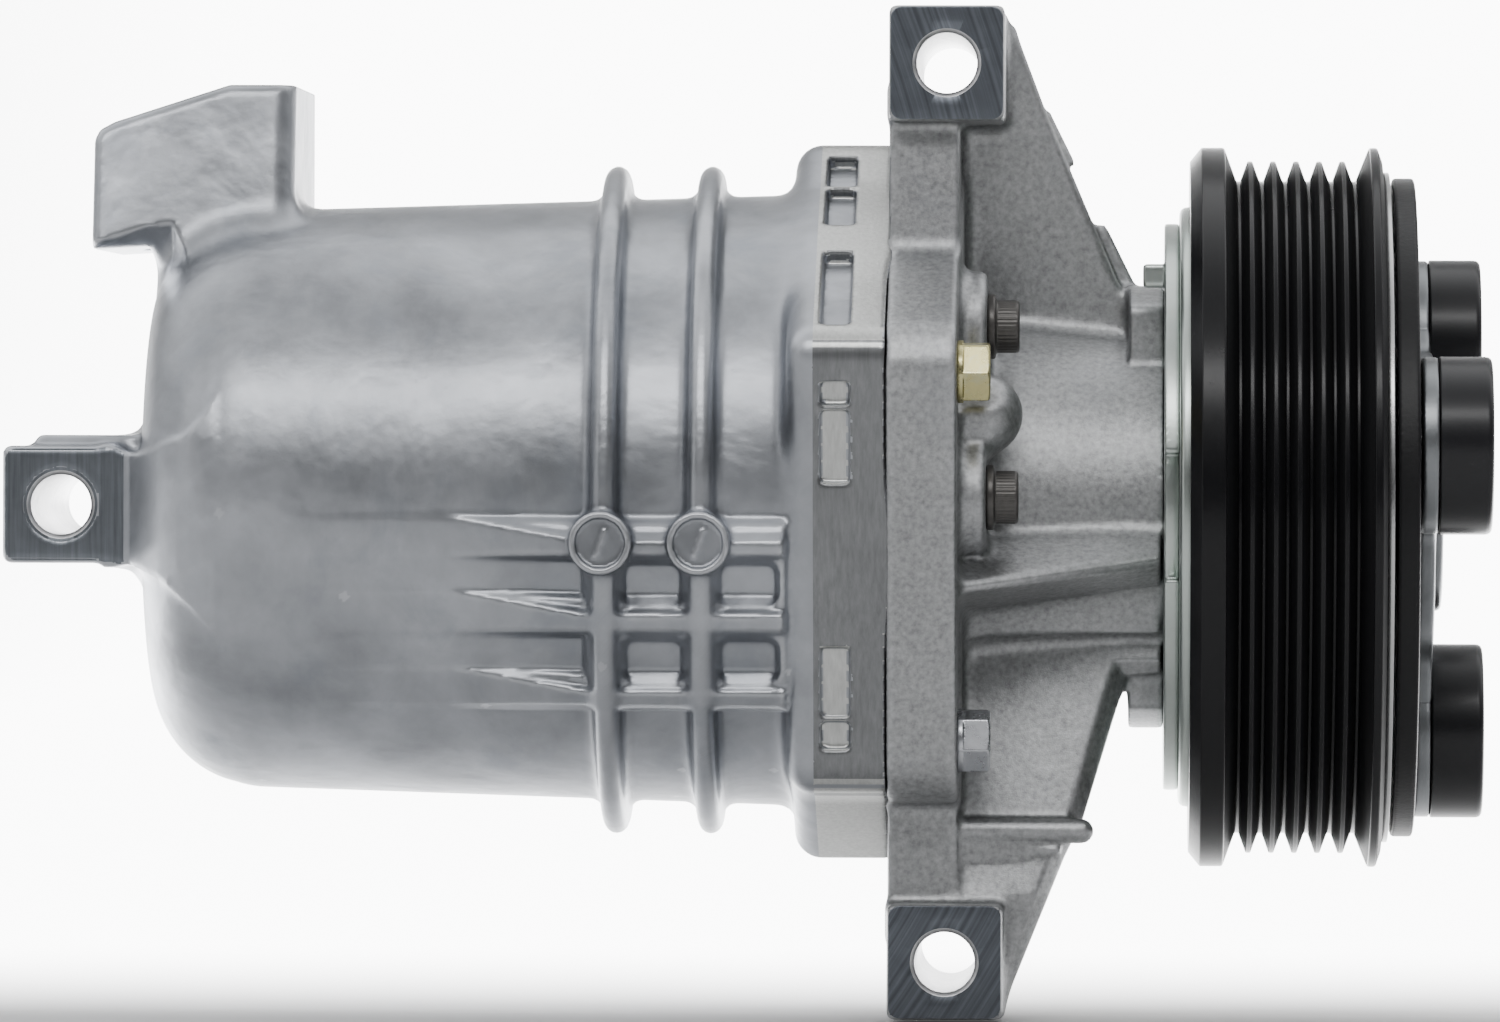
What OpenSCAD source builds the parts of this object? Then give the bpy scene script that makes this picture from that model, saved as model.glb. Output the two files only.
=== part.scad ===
// Belt-driven rotary-vane refrigerant compressor with an electromagnetic clutch.
// The shaft lies along X. The pulley end is +X, and the origin is on the shaft axis at the
// centre plane of the belt track. Angles about the shaft start at -Y and grow towards +Z.

/* [Pulley and clutch] */
// Number of V grooves in the belt track
groove_count = 6; // [4:1:6]
// Distance between two V grooves
groove_pitch = 3.56; // [3.4:0.02:3.6]
// Radius over the crests between the grooves
crest_r = 52.6; // [52:0.1:53]
// Depth of each V groove
groove_depth = 2.8; // [2.2:0.1:3]
// Radius of the two pulley flanges
flange_r = 55.5; // [54.5:0.1:56]
// Air gap between the friction faces when the clutch is open
air_gap = 0.5; // [0.3:0.05:0.7]
// Outer radius of the armature plate
armature_r = 50.9; // [48:0.1:51.5]
// Thickness of the armature plate
armature_t = 3.4; // [2.8:0.1:3.4]
// Radius of the circle on which the damper cups stand
cup_pitch_r = 35.9; // [34:0.1:36.5]
// Outer radius of a damper cup
cup_r = 13.5; // [12.5:0.1:13.5]
// Height of a damper cup
cup_h = 8.1; // [7.5:0.1:10]
// Direction of the first damper cup about the shaft, in degrees
cup_angle = 15.4; // [0:0.1:119]

/* [Casings] */
// Radius of the shell's barrel at its open end
barrel_r = 46.8; // [46.6:0.1:48]
// Radius of the shell's barrel where its closed end starts to round over
barrel_end_r = 44; // [43.8:0.1:45.5]
// Radius over the two ring ribs of the barrel
ring_r = 52.2; // [50:0.1:53]
// Radius of the bore that holds the pump
shell_bore_r = 42.5; // [42.5:0.01:42.6]
// Radius of the corners of the bolted flanges
joint_corner_r = 55.5; // [55:0.1:57]
// Distance from the shaft axis to the flats of the bolted flanges
joint_flat_r = 47.5; // [47.5:0.1:49]
// Thickness of the front head's plate
plate_t = 10.8; // [10:0.1:11.5]
// Radius of the tapered nose at its root
nose_r = 29; // [28:0.1:30]

/* [Mounting lugs] */
// Radius of the through bores of the lugs
lug_bore_r = 4.6; // [4.3:0.05:4.8]
// Side of a lug's square face
lug_side = 17.6; // [17:0.1:19]
// Height of the upper front lug's bore above the shaft axis
upper_lug_z = 67.5; // [66:0.1:69]
// Depth of the lower front lug's bore under the shaft axis
lower_lug_z = 69.2; // [68:0.1:71]
// How far the front lugs reach towards -Y
front_lug_near = 33; // [30:0.5:36]
// How far the rear lug reaches towards -Y
rear_lug_near = 30; // [28:0.5:34]
// How far all three lugs reach towards +Y, where their seats share one plane
lug_seat = 32; // [30:0.5:36]

/* [Pump] */
// Radius of the rotor
rotor_r = 26.95; // [26.9:0.01:26.96]
// Smallest radius of the two-lobed cylinder bore
bore_minor_r = 27.06; // [27.05:0.01:27.1]
// Growth of the cylinder bore's radius from its narrow to its wide direction
bore_swell = 6; // [4:0.1:6]
// Direction in which the cylinder bore is narrowest, in degrees
narrow_angle = 25.8; // [20:0.1:30]
// Thickness of a vane
vane_t = 3; // [2.5:0.1:3.5]
// Radial height of a vane
vane_h = 14.8; // [13:0.1:14.9]

/* [Fasteners] */
// Radius of the circle of the five head bolts
head_bolt_pitch_r = 48.5; // [48.3:0.1:49]
// Direction of the first head bolt, in degrees
head_bolt_angle = 25; // [22:0.5:27]
// Radius of the circle of the four pump bolts
pump_bolt_pitch_r = 36.4; // [36.2:0.1:36.6]

/* [Hidden] */
$fn = 96;
small_fn = 32;
cut = 1;               // how far a cutting tool overshoots the face it cuts

// Stations along X
joint_x = -62.4;       // where the shell's flange meets the head
plate_x = joint_x + plate_t;
flange_back_x = -77.6;
barrel_end_x = -160;
shell_end_x = -176.4;
ring_x = [-104.8, -90.2];
boss_x = -47.3;        // seat of the pump bolts
nose_end_x = -25.7;
coil_x = -20.3;        // seat of the clutch coil
cup_back_x = -18;
cup_front_x = 4;
pulley_back_x = -16.4;
pulley_front_x = 13.7;
friction_x = 14.3;
armature_x = friction_x + air_gap;
hub_plate_x = armature_x + armature_t + 0.3;
hub_plate_t = 2.7;
cup_x = hub_plate_x + hub_plate_t;
hub_face_x = cup_x + 1.4;

// Stations of the pump inside the shell
spigot_x = -67;
front_block_x = -77;
cylinder_x = -113;
rear_block_x = -125;
separator_x = -129;

// Lug and port places
front_lug_x = -53.4;
rear_lug_x = -188.6;
port_block_x = [-184.4, -154.4];
port_block_y = [-20, 33];
port_block_z = [39.6, 64.6];
discharge_x = -164.6;
discharge_z = 51.5;
discharge_r = 7;
discharge_depth = 22;
suction_x = -41.5;
suction_angle = narrow_angle + 180;
suction_face_r = 50;
suction_r = 7.5;
suction_bolt_shift = -16.5;
suction_bolt_r = 2.5;
port_thread_r = 3.4;
port_bolt_step = 14.4;
relief_x = -146;
relief_seat_y = 48;

// Shaft and bearings
shaft_r = 8;
journal_r = 7.5;
spline_r = 7;
needle_r = 1;
needle_gap = 0.02;
needle_count = 22;
ball_bearing_x = [-8, 12];
ball_r = 3.4;
ball_pitch_r = 22.6;
ball_count = 14;
stub_r = 17.5;
race_r = 27.5;
hub_bolt_r = 4;

// Fastener sizes
head_bolt_r = 3;
head_bolt_hex = 8.4;
pump_bolt_r = 2.5;
pump_bolt_half_angle = 23.4;
pump_bolt_angles = [for (side = [0, 180], turn = [-1, 1])
    narrow_angle + side + turn * pump_bolt_half_angle];

// A tube or disc along the shaft, from x0 to x1
module along(x0, x1, r) {
    translate([x0, 0, 0]) rotate([0, 90, 0]) cylinder(r = r, h = x1 - x0);
}
module ring(x0, x1, r_in, r_out) {
    difference() {
        along(x0, x1, r_out);
        along(x0 - cut, x1 + cut, r_in);
    }
}
// A solid of revolution about the shaft; the outline's points are [radius, x]
module turned() {
    rotate([0, 90, 0]) rotate_extrude() children();
}
// An outline in the [Y, Z] plane, raised from x0 to x1
module raised(x0, x1) {
    translate([x0, 0, 0]) rotate([90, 0, 90]) linear_extrude(height = x1 - x0) children();
}
// An outline in the [X, Z] plane, raised from y0 to y1
module web(y0, y1) {
    translate([0, y1, 0]) rotate([90, 0, 0]) linear_extrude(height = y1 - y0) children();
}
// Places a child at an angle about the shaft, r from it
module at(angle, r) {
    rotate([-angle, 0, 0]) translate([0, -r, 0]) children();
}
module across(x, z, y0, y1, r) {
    translate([x, y0, z]) rotate([-90, 0, 0]) cylinder(r = r, h = y1 - y0);
}
module box(x, y, z) {
    translate([x[0], y[0], z[0]]) cube([x[1] - x[0], y[1] - y[0], z[1] - z[0]]);
}
// A square lug with rounded edges along its bore
module lug(x, z, y0, y1) {
    round_r = 2;
    half = lug_side / 2 - round_r;
    for (dx = [-half, half], dz = [-half, half])
        across(x + dx, z + dz, y0, y1, round_r, $fn = small_fn);
    box([x - half - round_r, x + half + round_r], [y0, y1], [z - half, z + half]);
    box([x - half, x + half], [y0, y1], [z - half - round_r, z + half + round_r]);
}
module lug_bore(x, z) {
    reach = 60;
    chamfer = 0.6;
    across(x, z, -reach, reach, lug_bore_r);
    for (end = [[-1, z == 0 ? rear_lug_near : front_lug_near], [1, lug_seat]])
        translate([x, end[0] * end[1], z]) rotate([90 * end[0], 0, 0])
            cylinder(r1 = lug_bore_r + chamfer, r2 = lug_bore_r, h = chamfer, $fn = 96);
}
// Five-sided outline of the bolted flanges, with its corners cut by a circle
module joint_outline(grow) {
    corner = (joint_flat_r + grow) / cos(36);
    intersection() {
        circle(r = joint_corner_r + grow);
        polygon([for (k = [0:4])
            let (a = head_bolt_angle + 72 * k) [-corner * cos(a), corner * sin(a)]]);
    }
}
// Two-lobed outline of the cylinder bore
module bore_outline() {
    steps = 120;
    polygon([for (k = [0:steps - 1])
        let (a = 360 * k / steps,
             r = bore_minor_r + bore_swell * pow(sin(a - narrow_angle), 2))
        [-r * cos(a), r * sin(a)]]);
}

module rear_shell() color("lightsteelblue") {
    end_round = 16;
    wall = 4.4;
    difference() {
        union() {
            turned() {
                polygon([[0, shell_end_x], [barrel_end_r - end_round, shell_end_x],
                         for (k = [1:8]) let (a = 90 * k / 9)
                             [barrel_end_r - end_round * (1 - sin(a)),
                              shell_end_x + end_round * (1 - cos(a))],
                         [barrel_end_r, barrel_end_x], [barrel_r, flange_back_x],
                         [barrel_r, joint_x], [0, joint_x]]);
                for (x = ring_x) {
                    translate([ring_r - 2.3, x]) circle(r = 2.3, $fn = small_fn);
                    translate([barrel_r - 3, x - 2.3]) square([ring_r - barrel_r + 0.7, 4.6]);
                }
            }
            raised(flange_back_x, joint_x) joint_outline(0);
            box([flange_back_x + 2, joint_x], [-9, 9], [-53.9, -40]);
            lug(rear_lug_x, 0, -rear_lug_near, lug_seat);
            box([rear_lug_x, -166], [-18, 18], [-9.5, 7.5]);
            web(port_block_y[0], port_block_y[1])
                polygon([[port_block_x[0], port_block_z[0]], [port_block_x[0], 57.5],
                         [-180.3, 59], [-162.6, port_block_z[1]],
                         [port_block_x[1], port_block_z[1]], [port_block_x[1], 30],
                         [-168, 30], [-174, port_block_z[0]]]);
            at(180, 0) across(relief_x, 0, -relief_seat_y, -30, 10);
        }
        turned() polygon([[0, -170], [barrel_end_r - end_round, -170],
                          [barrel_end_r - wall - 3, barrel_end_x - 3],
                          [barrel_end_r - wall, barrel_end_x + 3],
                          [barrel_end_r - wall, rear_block_x - 1],
                          [shell_bore_r, rear_block_x - 1], [shell_bore_r, joint_x + cut],
                          [0, joint_x + cut]]);
        lug_bore(rear_lug_x, 0);
        across(discharge_x, discharge_z, port_block_y[1] - discharge_depth,
               port_block_y[1] + cut, discharge_r);
        translate([discharge_x, port_block_y[1] - discharge_depth + 4, 30])
            cylinder(r = 3.5, h = discharge_z - 30, $fn = small_fn);
        across(discharge_x - port_bolt_step, discharge_z, port_block_y[1] - 18,
               port_block_y[1] + cut, port_thread_r);
        across(relief_x, 0, 30, relief_seat_y + cut, 5);
        for (k = [0:4]) at(head_bolt_angle + 72 * k, head_bolt_pitch_r)
            along(-74, joint_x + cut, head_bolt_r);
    }
}

// Webs, bosses and the suction block, with room for the heads of the bolts
module front_features() difference() {
    union() {
        web(-5.5, 4.5) polygon([[plate_x - 2, 20], [plate_x - 2, 76], [-43.4, 73.6],
                        [-38.4, 60.4], [nose_end_x - 0.2, 31], [nose_end_x, 20]]);
        web(-6, 6) polygon([[plate_x - 2, -18], [plate_x - 2, -51], [-33, -51],
                          [-26, -26], [-24, -18]]);
        web(-6, 6) polygon([[plate_x - 2, -45], [plate_x - 2, -77], [-45, -77],
                          [-34.5, -50]]);
        translate([0, -6, -50.2]) along(plate_x - 1, -32, 2.5, $fn = small_fn);
        at(22.5, 37.5) along(plate_x - 1, -48, 6);
        at(22.5, 37.5) translate([-48, 0, 0]) sphere(r = 6);
        at(suction_angle, 0) {
            box([plate_x - 1, -31], [-suction_face_r, -20], [-10, 10]);
            box([plate_x - 1, -34], [-suction_face_r, -40], [-22, -9]);
        }
    }
    for (k = [0:4]) at(head_bolt_angle + 72 * k, head_bolt_pitch_r)
        along(plate_x - 3, plate_x + 30, 7);
    for (a = pump_bolt_angles) at(a, pump_bolt_pitch_r) along(plate_x - 3, -39, 5.8);
}
module front_head() color("silver") {
    difference() {
        union() {
            raised(joint_x, plate_x) joint_outline(0.8);
            box([joint_x, plate_x], [-28, 26], [-66, 64]);
            lug(front_lug_x, upper_lug_z, -front_lug_near, lug_seat);
            lug(front_lug_x, -lower_lug_z, -front_lug_near, lug_seat);
            front_features();
            turned() polygon([[0, joint_x], [nose_r, joint_x], [nose_r, plate_x],
                              [nose_r - 2.4, nose_end_x], [34.2, nose_end_x],
                              [34.2, coil_x], [20, coil_x], [20, ball_bearing_x[0]],
                              [stub_r, ball_bearing_x[0]], [stub_r, friction_x - 0.3],
                              [0, friction_x - 0.3]]);
            along(spigot_x, joint_x, 42.3);
            raised(nose_end_x - 24, coil_x - 1)
                polygon([[-26, 0], [-39, -8], [-39, -13], [-24, -12]]);
            for (a = pump_bolt_angles) at(a, pump_bolt_pitch_r) along(plate_x - 1, boss_x, 9);
        }
        // Passage for the shaft, its seal and the hub
        along(spigot_x - cut, friction_x + cut, 9.5);
        along(-16, friction_x + cut, 12.5);
        ring(-13.2, -12, 12, 13.4);
        // Suction chamber round the shaft passage
        ring(spigot_x - cut, -33, 12.5, 22.5);
        ring(spigot_x - cut, joint_x + 4, 12.5, 31);
        at(suction_angle, 0) {
            across(suction_x, 0, -suction_face_r - cut, -15, suction_r);
            across(suction_x, suction_bolt_shift, -suction_face_r - cut, -41, suction_bolt_r);
        }
        // Groove of the shell's O-ring
        ring(-66.1, -63.6, 40.2, 44);
        for (z = [upper_lug_z, -lower_lug_z]) lug_bore(front_lug_x, z);
        for (k = [0:4]) at(head_bolt_angle + 72 * k, head_bolt_pitch_r)
            along(joint_x - cut, plate_x + cut, head_bolt_r + 0.3);
        for (a = pump_bolt_angles) at(a, pump_bolt_pitch_r)
            along(spigot_x - cut, boss_x + cut, pump_bolt_r + 0.25);
        // Grooves of the three retaining clips on the nose
        ring(-17.9, -16.6, 19, 22);
        ring(12.1, 13.4, 16.5, 19);
    }
}

module o_ring(x, r, section) {
    turned() translate([r, x]) circle(r = section, $fn = small_fn);
}
module shell_oring() color("black") o_ring(-64.85, 41.35, 1.1);
module rear_block_oring() color("black") o_ring(-119, 41.35, 1.1);

module head_bolts() color("khaki") for (k = [0:4])
    at(head_bolt_angle + 72 * k, head_bolt_pitch_r) {
        along(-73, plate_x, head_bolt_r);
        difference() {
            translate([plate_x, 0, 0]) rotate([0, 90, 0])
                cylinder(r = head_bolt_hex / 2 / cos(30), h = 5, $fn = 6);
            along(plate_x + 4.2, plate_x + 6, 2.4);
        }
    }

module pump_bolts() color("dimgray") for (a = pump_bolt_angles)
    at(a, pump_bolt_pitch_r) {
        along(-122, boss_x, pump_bolt_r);
        difference() {
            union() {
                along(boss_x, boss_x + 1.3, 4.9);
                along(boss_x + 1.3, boss_x + 4.9, 4);
            }
            translate([boss_x + 2, 0, 0]) rotate([0, 90, 0])
                cylinder(r = 2.3, h = 4, $fn = 6);
        }
    }

module pump_bolt_holes(x0, x1, r) {
    for (a = pump_bolt_angles) at(a, pump_bolt_pitch_r) along(x0, x1, r);
}
module dowel_holes(x0, x1) {
    for (side = [90, 270]) at(narrow_angle + side, 38) along(x0, x1, 2);
}
module front_side_block() color("gray") difference() {
    along(front_block_x, spigot_x, 42.3);
    along(front_block_x - cut, spigot_x + cut, 10.5);
    pump_bolt_holes(front_block_x - cut, spigot_x + cut, pump_bolt_r + 0.25);
    dowel_holes(front_block_x - cut, -72);
    // Suction windows
    for (side = [0, 180]) at(narrow_angle + side + 50, 27) along(-90, -60, 3.4);
}
module cylinder_block() color("gray") difference() {
    along(cylinder_x, front_block_x, 42.3);
    raised(cylinder_x - cut, front_block_x + cut) bore_outline();
    pump_bolt_holes(cylinder_x - cut, front_block_x + cut, pump_bolt_r + 0.25);
    dowel_holes(cylinder_x - cut, front_block_x + cut);
    // Discharge holes under the reeds, and the flat pocket that holds each reed
    for (side = [0, 180]) at(narrow_angle + side - 44, 0) {
        for (x = [-102, -95, -88]) translate([x, -20, 0]) rotate([90, 0, 0])
            cylinder(r = 1.8, h = 25, $fn = small_fn);
        box([-110, -80], [-50, -35], [-5.2, 5.2]);
        for (x = [-107.5, -82.5]) translate([x, -30.5, 0]) rotate([90, 0, 0])
            cylinder(r = 1.5, h = 10, $fn = small_fn);
    }
}
module rear_side_block() color("gray") difference() {
    along(rear_block_x, cylinder_x, 42.3);
    along(rear_block_x + 1, cylinder_x + cut, 10.5);
    pump_bolt_holes(-123, cylinder_x + cut, pump_bolt_r);
    dowel_holes(-118, cylinder_x + cut);
    ring(-120.25, -117.75, 40.2, 44);
}
module block_dowels() color("silver")
    for (side = [90, 270], x = [front_block_x, cylinder_x])
        at(narrow_angle + side, 38) along(x - 4.5, x + 4.5, 2);

module discharge_reeds() color("steelblue") for (side = [0, 180])
    at(narrow_angle + side - 44, 0) difference() {
        box([-109.5, -80.5], [-35.3, -35], [-4, 4]);
        for (x = [-107.5, -82.5]) translate([x, -34, 0]) rotate([90, 0, 0])
            cylinder(r = 1.5, h = 3, $fn = small_fn);
    }
module reed_stops() color("silver") for (side = [0, 180])
    at(narrow_angle + side - 44, 0) difference() {
        box([-109.5, -80.5], [-36.8, -35.3], [-3.8, 3.8]);
        for (x = [-107.5, -82.5]) translate([x, -34, 0]) rotate([90, 0, 0])
            cylinder(r = 1.5, h = 4, $fn = small_fn);
        box([-105, -85], [-36, -35], [-5, 5]);
    }
module reed_screws() color("silver") for (side = [0, 180], x = [-107.5, -82.5])
    at(narrow_angle + side - 44, 0) {
        translate([x, -31, 0]) rotate([90, 0, 0]) cylinder(r = 1.5, h = 5.8, $fn = small_fn);
        translate([x, -36.8, 0]) rotate([90, 0, 0]) cylinder(r = 2.4, h = 1.6, $fn = small_fn);
    }

module separator_case() color("gray") difference() {
    union() {
        along(separator_x, rear_block_x, 34);
        along(-150, separator_x, 22);
    }
    along(-148, rear_block_x + cut, 19);
    for (k = [0:5]) rotate([60 * k + 17, 0, 0]) translate([-140, 0, 0])
        cylinder(r = 4, h = 40, $fn = small_fn);
}
module separator_screen() color("silver") ring(-148, rear_block_x, 17.8, 19);
module relief_valve() color("goldenrod") difference() {
    union() {
        across(relief_x, 0, 38, relief_seat_y, 5);
        translate([relief_x, relief_seat_y, 0]) rotate([-90, 0, 0])
            cylinder(r = 8.1, h = 4.5, $fn = 6);
    }
    across(relief_x, 0, 37, relief_seat_y + 5, 1.5);
}

module bearing_shell(x0, x1) {
    inner = journal_r + 2 * (needle_r + needle_gap);
    ring(x0, x1, inner, 10.5);
}
module needles(x0, x1) {
    for (k = [0:needle_count - 1])
        at(360 * k / needle_count, journal_r + needle_r + needle_gap)
            along(x0, x1, needle_r, $fn = 24);
}
module front_bearing_shell() color("silver") bearing_shell(-76.6, -67.4);
module front_bearing_needles() color("white") needles(-75.6, -68.4);
module rear_bearing_shell() color("silver") bearing_shell(-123.6, -113.4);
module rear_bearing_needles() color("white") needles(-122.6, -114.4);

module shaft_seal() color("black") difference() {
    along(-16, -13.2, 12.5);
    along(-15, -12, 10);
    along(-17, -12, journal_r + 0.05);
}
module seal_clip() color("silver") difference() {
    ring(-13.2, -12.2, 10.4, 13.3);
    box([-14, -11], [-2, 2], [8, 15]);
}

module shaft() color("silver") difference() {
    union() {
        along(-123.6, -112.97, journal_r);
        along(-112.97, -77.03, shaft_r);
        along(-77.03, 3.4, journal_r);
        along(3.4, 17.8, spline_r);
    }
    along(2, 21, hub_bolt_r);
}
module rotor() color("darkgray") {
    slot_root = 11.6;
    difference() {
        along(-112.97, -77.03, rotor_r);
        along(-114, -76, shaft_r);
        for (k = [1:5]) at(vane_angle(k), 0) {
            box([-114, -76], [-rotor_r - 1, -slot_root],
                [-vane_t / 2 - 0.03, vane_t / 2 + 0.03]);
            translate([0, -slot_root, 0]) along(-114, -76, 2, $fn = small_fn);
        }
    }
}
function vane_angle(k) = narrow_angle + 18 + 72 * (k - 1);
// A vane in its retracted place, with a rounded tip
module vane(k) color("darkslategray") {
    tip_r = 4;
    tip = rotor_r - 0.05;
    at(vane_angle(k), 0) intersection() {
        box([-112.93, -77.07], [-tip, vane_h - tip], [-vane_t / 2, vane_t / 2]);
        union() {
            translate([0, tip_r - tip, 0]) along(-114, -76, tip_r);
            box([-114, -76], [tip_r - tip, 0], [-vane_t, vane_t]);
        }
    }
}

module coil_plate() color("palegoldenrod") difference() {
    along(coil_x, cup_back_x, 43.8);
    along(coil_x - cut, cup_back_x + cut, 20.05);
}
module coil_cup() color("palegoldenrod") {
    difference() {
        along(cup_back_x, cup_front_x, 46.4);
        along(cup_back_x - cut, cup_front_x + cut, 31.6);
        ring(cup_back_x + 3, cup_front_x + cut, 34, 43.4);
    }
}
module coil_winding() color("firebrick") ring(cup_back_x + 3, cup_front_x - 1.5, 34, 43.4);
module coil_clip() color("dimgray") difference() {
    ring(-17.85, -16.65, 19.1, 22.4);
    box([-19, -16], [-3, 3], [15, 25]);
}
module lead_grommet() color("black") difference() {
    at(150, 39.2) along(coil_x - 5, coil_x, 4, $fn = small_fn);
    at(150, 39.2) along(coil_x - 6, coil_x - 2, 1.6, $fn = small_fn);
}

module ball_tracks(grow) {
    turned() for (x = [-3, 7]) translate([ball_pitch_r, x]) circle(r = ball_r + grow);
}
module bearing_inner_race() color("silver") difference() {
    ring(ball_bearing_x[0], ball_bearing_x[1], stub_r, 21.3);
    ball_tracks(0.02);
}
module bearing_outer_race() color("silver") difference() {
    ring(ball_bearing_x[0], ball_bearing_x[1], 23.9, race_r);
    ball_tracks(0.02);
}
module bearing_seals() color("black")
    for (x = [ball_bearing_x[0], ball_bearing_x[1] - 0.6]) ring(x, x + 0.6, 21.4, 23.9);
module bearing_balls() color("white")
    for (x = [-3, 7], k = [0:ball_count - 1])
        at(360 * k / ball_count, ball_pitch_r) translate([x, 0, 0])
            sphere(r = ball_r, $fn = small_fn);
module bearing_cage() color("peru") difference() {
    ring(-6.6, 10.6, 22, 23.2);
    for (x = [-3, 7], k = [0:ball_count - 1])
        at(360 * k / ball_count, ball_pitch_r) translate([x, 0, 0])
            rotate([90, 0, 0]) cylinder(r = ball_r + 0.05, h = 6, center = true);
}
module bearing_clip() color("dimgray") difference() {
    ring(12.15, 13.35, 16.6, 19.8);
    box([11, 15], [-3, 3], [12, 22]);
}

// Half-width of a groove at its open edge
groove_half = 0.5 + groove_depth * tan(20);
module pulley() color("dimgray") {
    track = groove_count * groove_pitch / 2 + 0.2;
    difference() {
        turned() {
            polygon([[46.9, pulley_back_x], [flange_r - 2.6, pulley_back_x],
                     [flange_r, pulley_back_x + 2.2], [flange_r, -track - 1.2],
                     [crest_r, -track], [crest_r, track], [flange_r - 0.6, track + 0.8],
                     [flange_r - 0.6, pulley_front_x - 1.4],
                     [flange_r - 1.8, pulley_front_x], [51.8, pulley_front_x],
                     [51.8, friction_x], [31, friction_x], [31, 11.4],
                     [race_r, 11.4], [race_r, ball_bearing_x[0]],
                     [31.1, ball_bearing_x[0]], [31.1, 7.5], [46.9, 7.5]]);
        }
        turned() for (k = [0:groove_count - 1])
            let (x = (k - (groove_count - 1) / 2) * groove_pitch,
                 root = crest_r - groove_depth)
            polygon([[root, x - 0.5], [root, x + 0.5],
                     [crest_r + 0.3, x + groove_half + 0.3 * tan(20)],
                     [crest_r + 0.3, x - groove_half - 0.3 * tan(20)]]);
        // Flux-break slots in the friction wall
        for (k = [0:5]) rotate([60 * k, 0, 0]) rotate([0, 90, 0])
            translate([0, 0, 6]) rotate_extrude(angle = 46)
                translate([38, 0]) square([2.4, 10]);
    }
}

module armature_plate() color("dimgray") difference() {
    ring(armature_x, armature_x + armature_t, 20, armature_r);
    for (k = [0:2]) {
        at(cup_angle + 120 * k, cup_pitch_r) along(armature_x - cut, 30, 3.5);
        rotate([-cup_angle - 120 * k + 32, 0, 0]) rotate([0, 90, 0])
            translate([0, 0, armature_x - 1]) rotate_extrude(angle = 46)
                translate([38, 0]) square([2.4, 10]);
    }
}
module armature_pins() color("silver") for (k = [0:2])
    at(cup_angle + 120 * k, cup_pitch_r) along(armature_x + 0.6, cup_x + cup_h - 2.6, 3.5);
module hub_outline() {
    circle(r = 24);
    for (k = [0:2]) rotate(-cup_angle - 120 * k) {
        translate([-cup_pitch_r, 0]) circle(r = cup_r - 0.1);
        translate([-cup_pitch_r, -11]) square([cup_pitch_r, 22]);
    }
}
module hub_plate() color("gray") difference() {
    raised(hub_plate_x, cup_x) hub_outline();
    along(hub_plate_x - cut, cup_x + cut, 16);
    for (k = [0:2]) at(cup_angle + 120 * k, cup_pitch_r)
        along(hub_plate_x - cut, cup_x + cut, 5);
}
module hub() color("gray") difference() {
    union() {
        along(4, hub_face_x, 11);
        along(hub_plate_x, hub_face_x, 16);
    }
    along(3, 20, spline_r);
    along(hub_face_x - 4.2, hub_face_x + cut, 8.6);
}
module damper_cup(k) color("dimgray") at(cup_angle + 120 * (k - 1), cup_pitch_r)
    difference() {
        turned() polygon([[0, cup_x], [cup_r, cup_x], [cup_r, cup_x + cup_h - 0.8],
                          [cup_r - 0.8, cup_x + cup_h], [0, cup_x + cup_h]]);
        along(cup_x - cut, cup_x + cup_h - 1.5, cup_r - 1.5);
    }
module damper_rubber(k) color("black") at(cup_angle + 120 * (k - 1), cup_pitch_r)
    ring(cup_x + 0.2, cup_x + cup_h - 1.7, 3.56, cup_r - 1.5);
module clutch_shim() color("silver") ring(3.4, 4, spline_r, 10.4);
module hub_bolt() color("dimgray") {
    along(4, hub_face_x - 4.2, hub_bolt_r);
    along(hub_face_x - 4.2, hub_face_x - 3, 8.2);
    translate([hub_face_x - 3, 0, 0]) rotate([0, 90, 0])
        cylinder(r = 6.9, h = 2.8, $fn = 6);
}

rear_shell();
front_head();
shell_oring();
head_bolts();
pump_bolts();
front_side_block();
cylinder_block();
rear_side_block();
rear_block_oring();
block_dowels();
discharge_reeds();
reed_stops();
reed_screws();
separator_case();
separator_screen();
relief_valve();
front_bearing_shell();
front_bearing_needles();
rear_bearing_shell();
rear_bearing_needles();
shaft_seal();
seal_clip();
shaft();
rotor();
for (k = [1:5]) vane(k);
coil_plate();
coil_cup();
coil_winding();
coil_clip();
lead_grommet();
bearing_inner_race();
bearing_clip();
bearing_outer_race();
bearing_seals();
bearing_balls();
bearing_cage();
pulley();
armature_plate();
armature_pins();
hub();
hub_plate();
for (k = [1:3]) damper_cup(k);
for (k = [1:3]) damper_rubber(k);
clutch_shim();
hub_bolt();
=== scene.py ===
import bpy
import math
import numpy as np
from mathutils import Matrix, Vector


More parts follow.
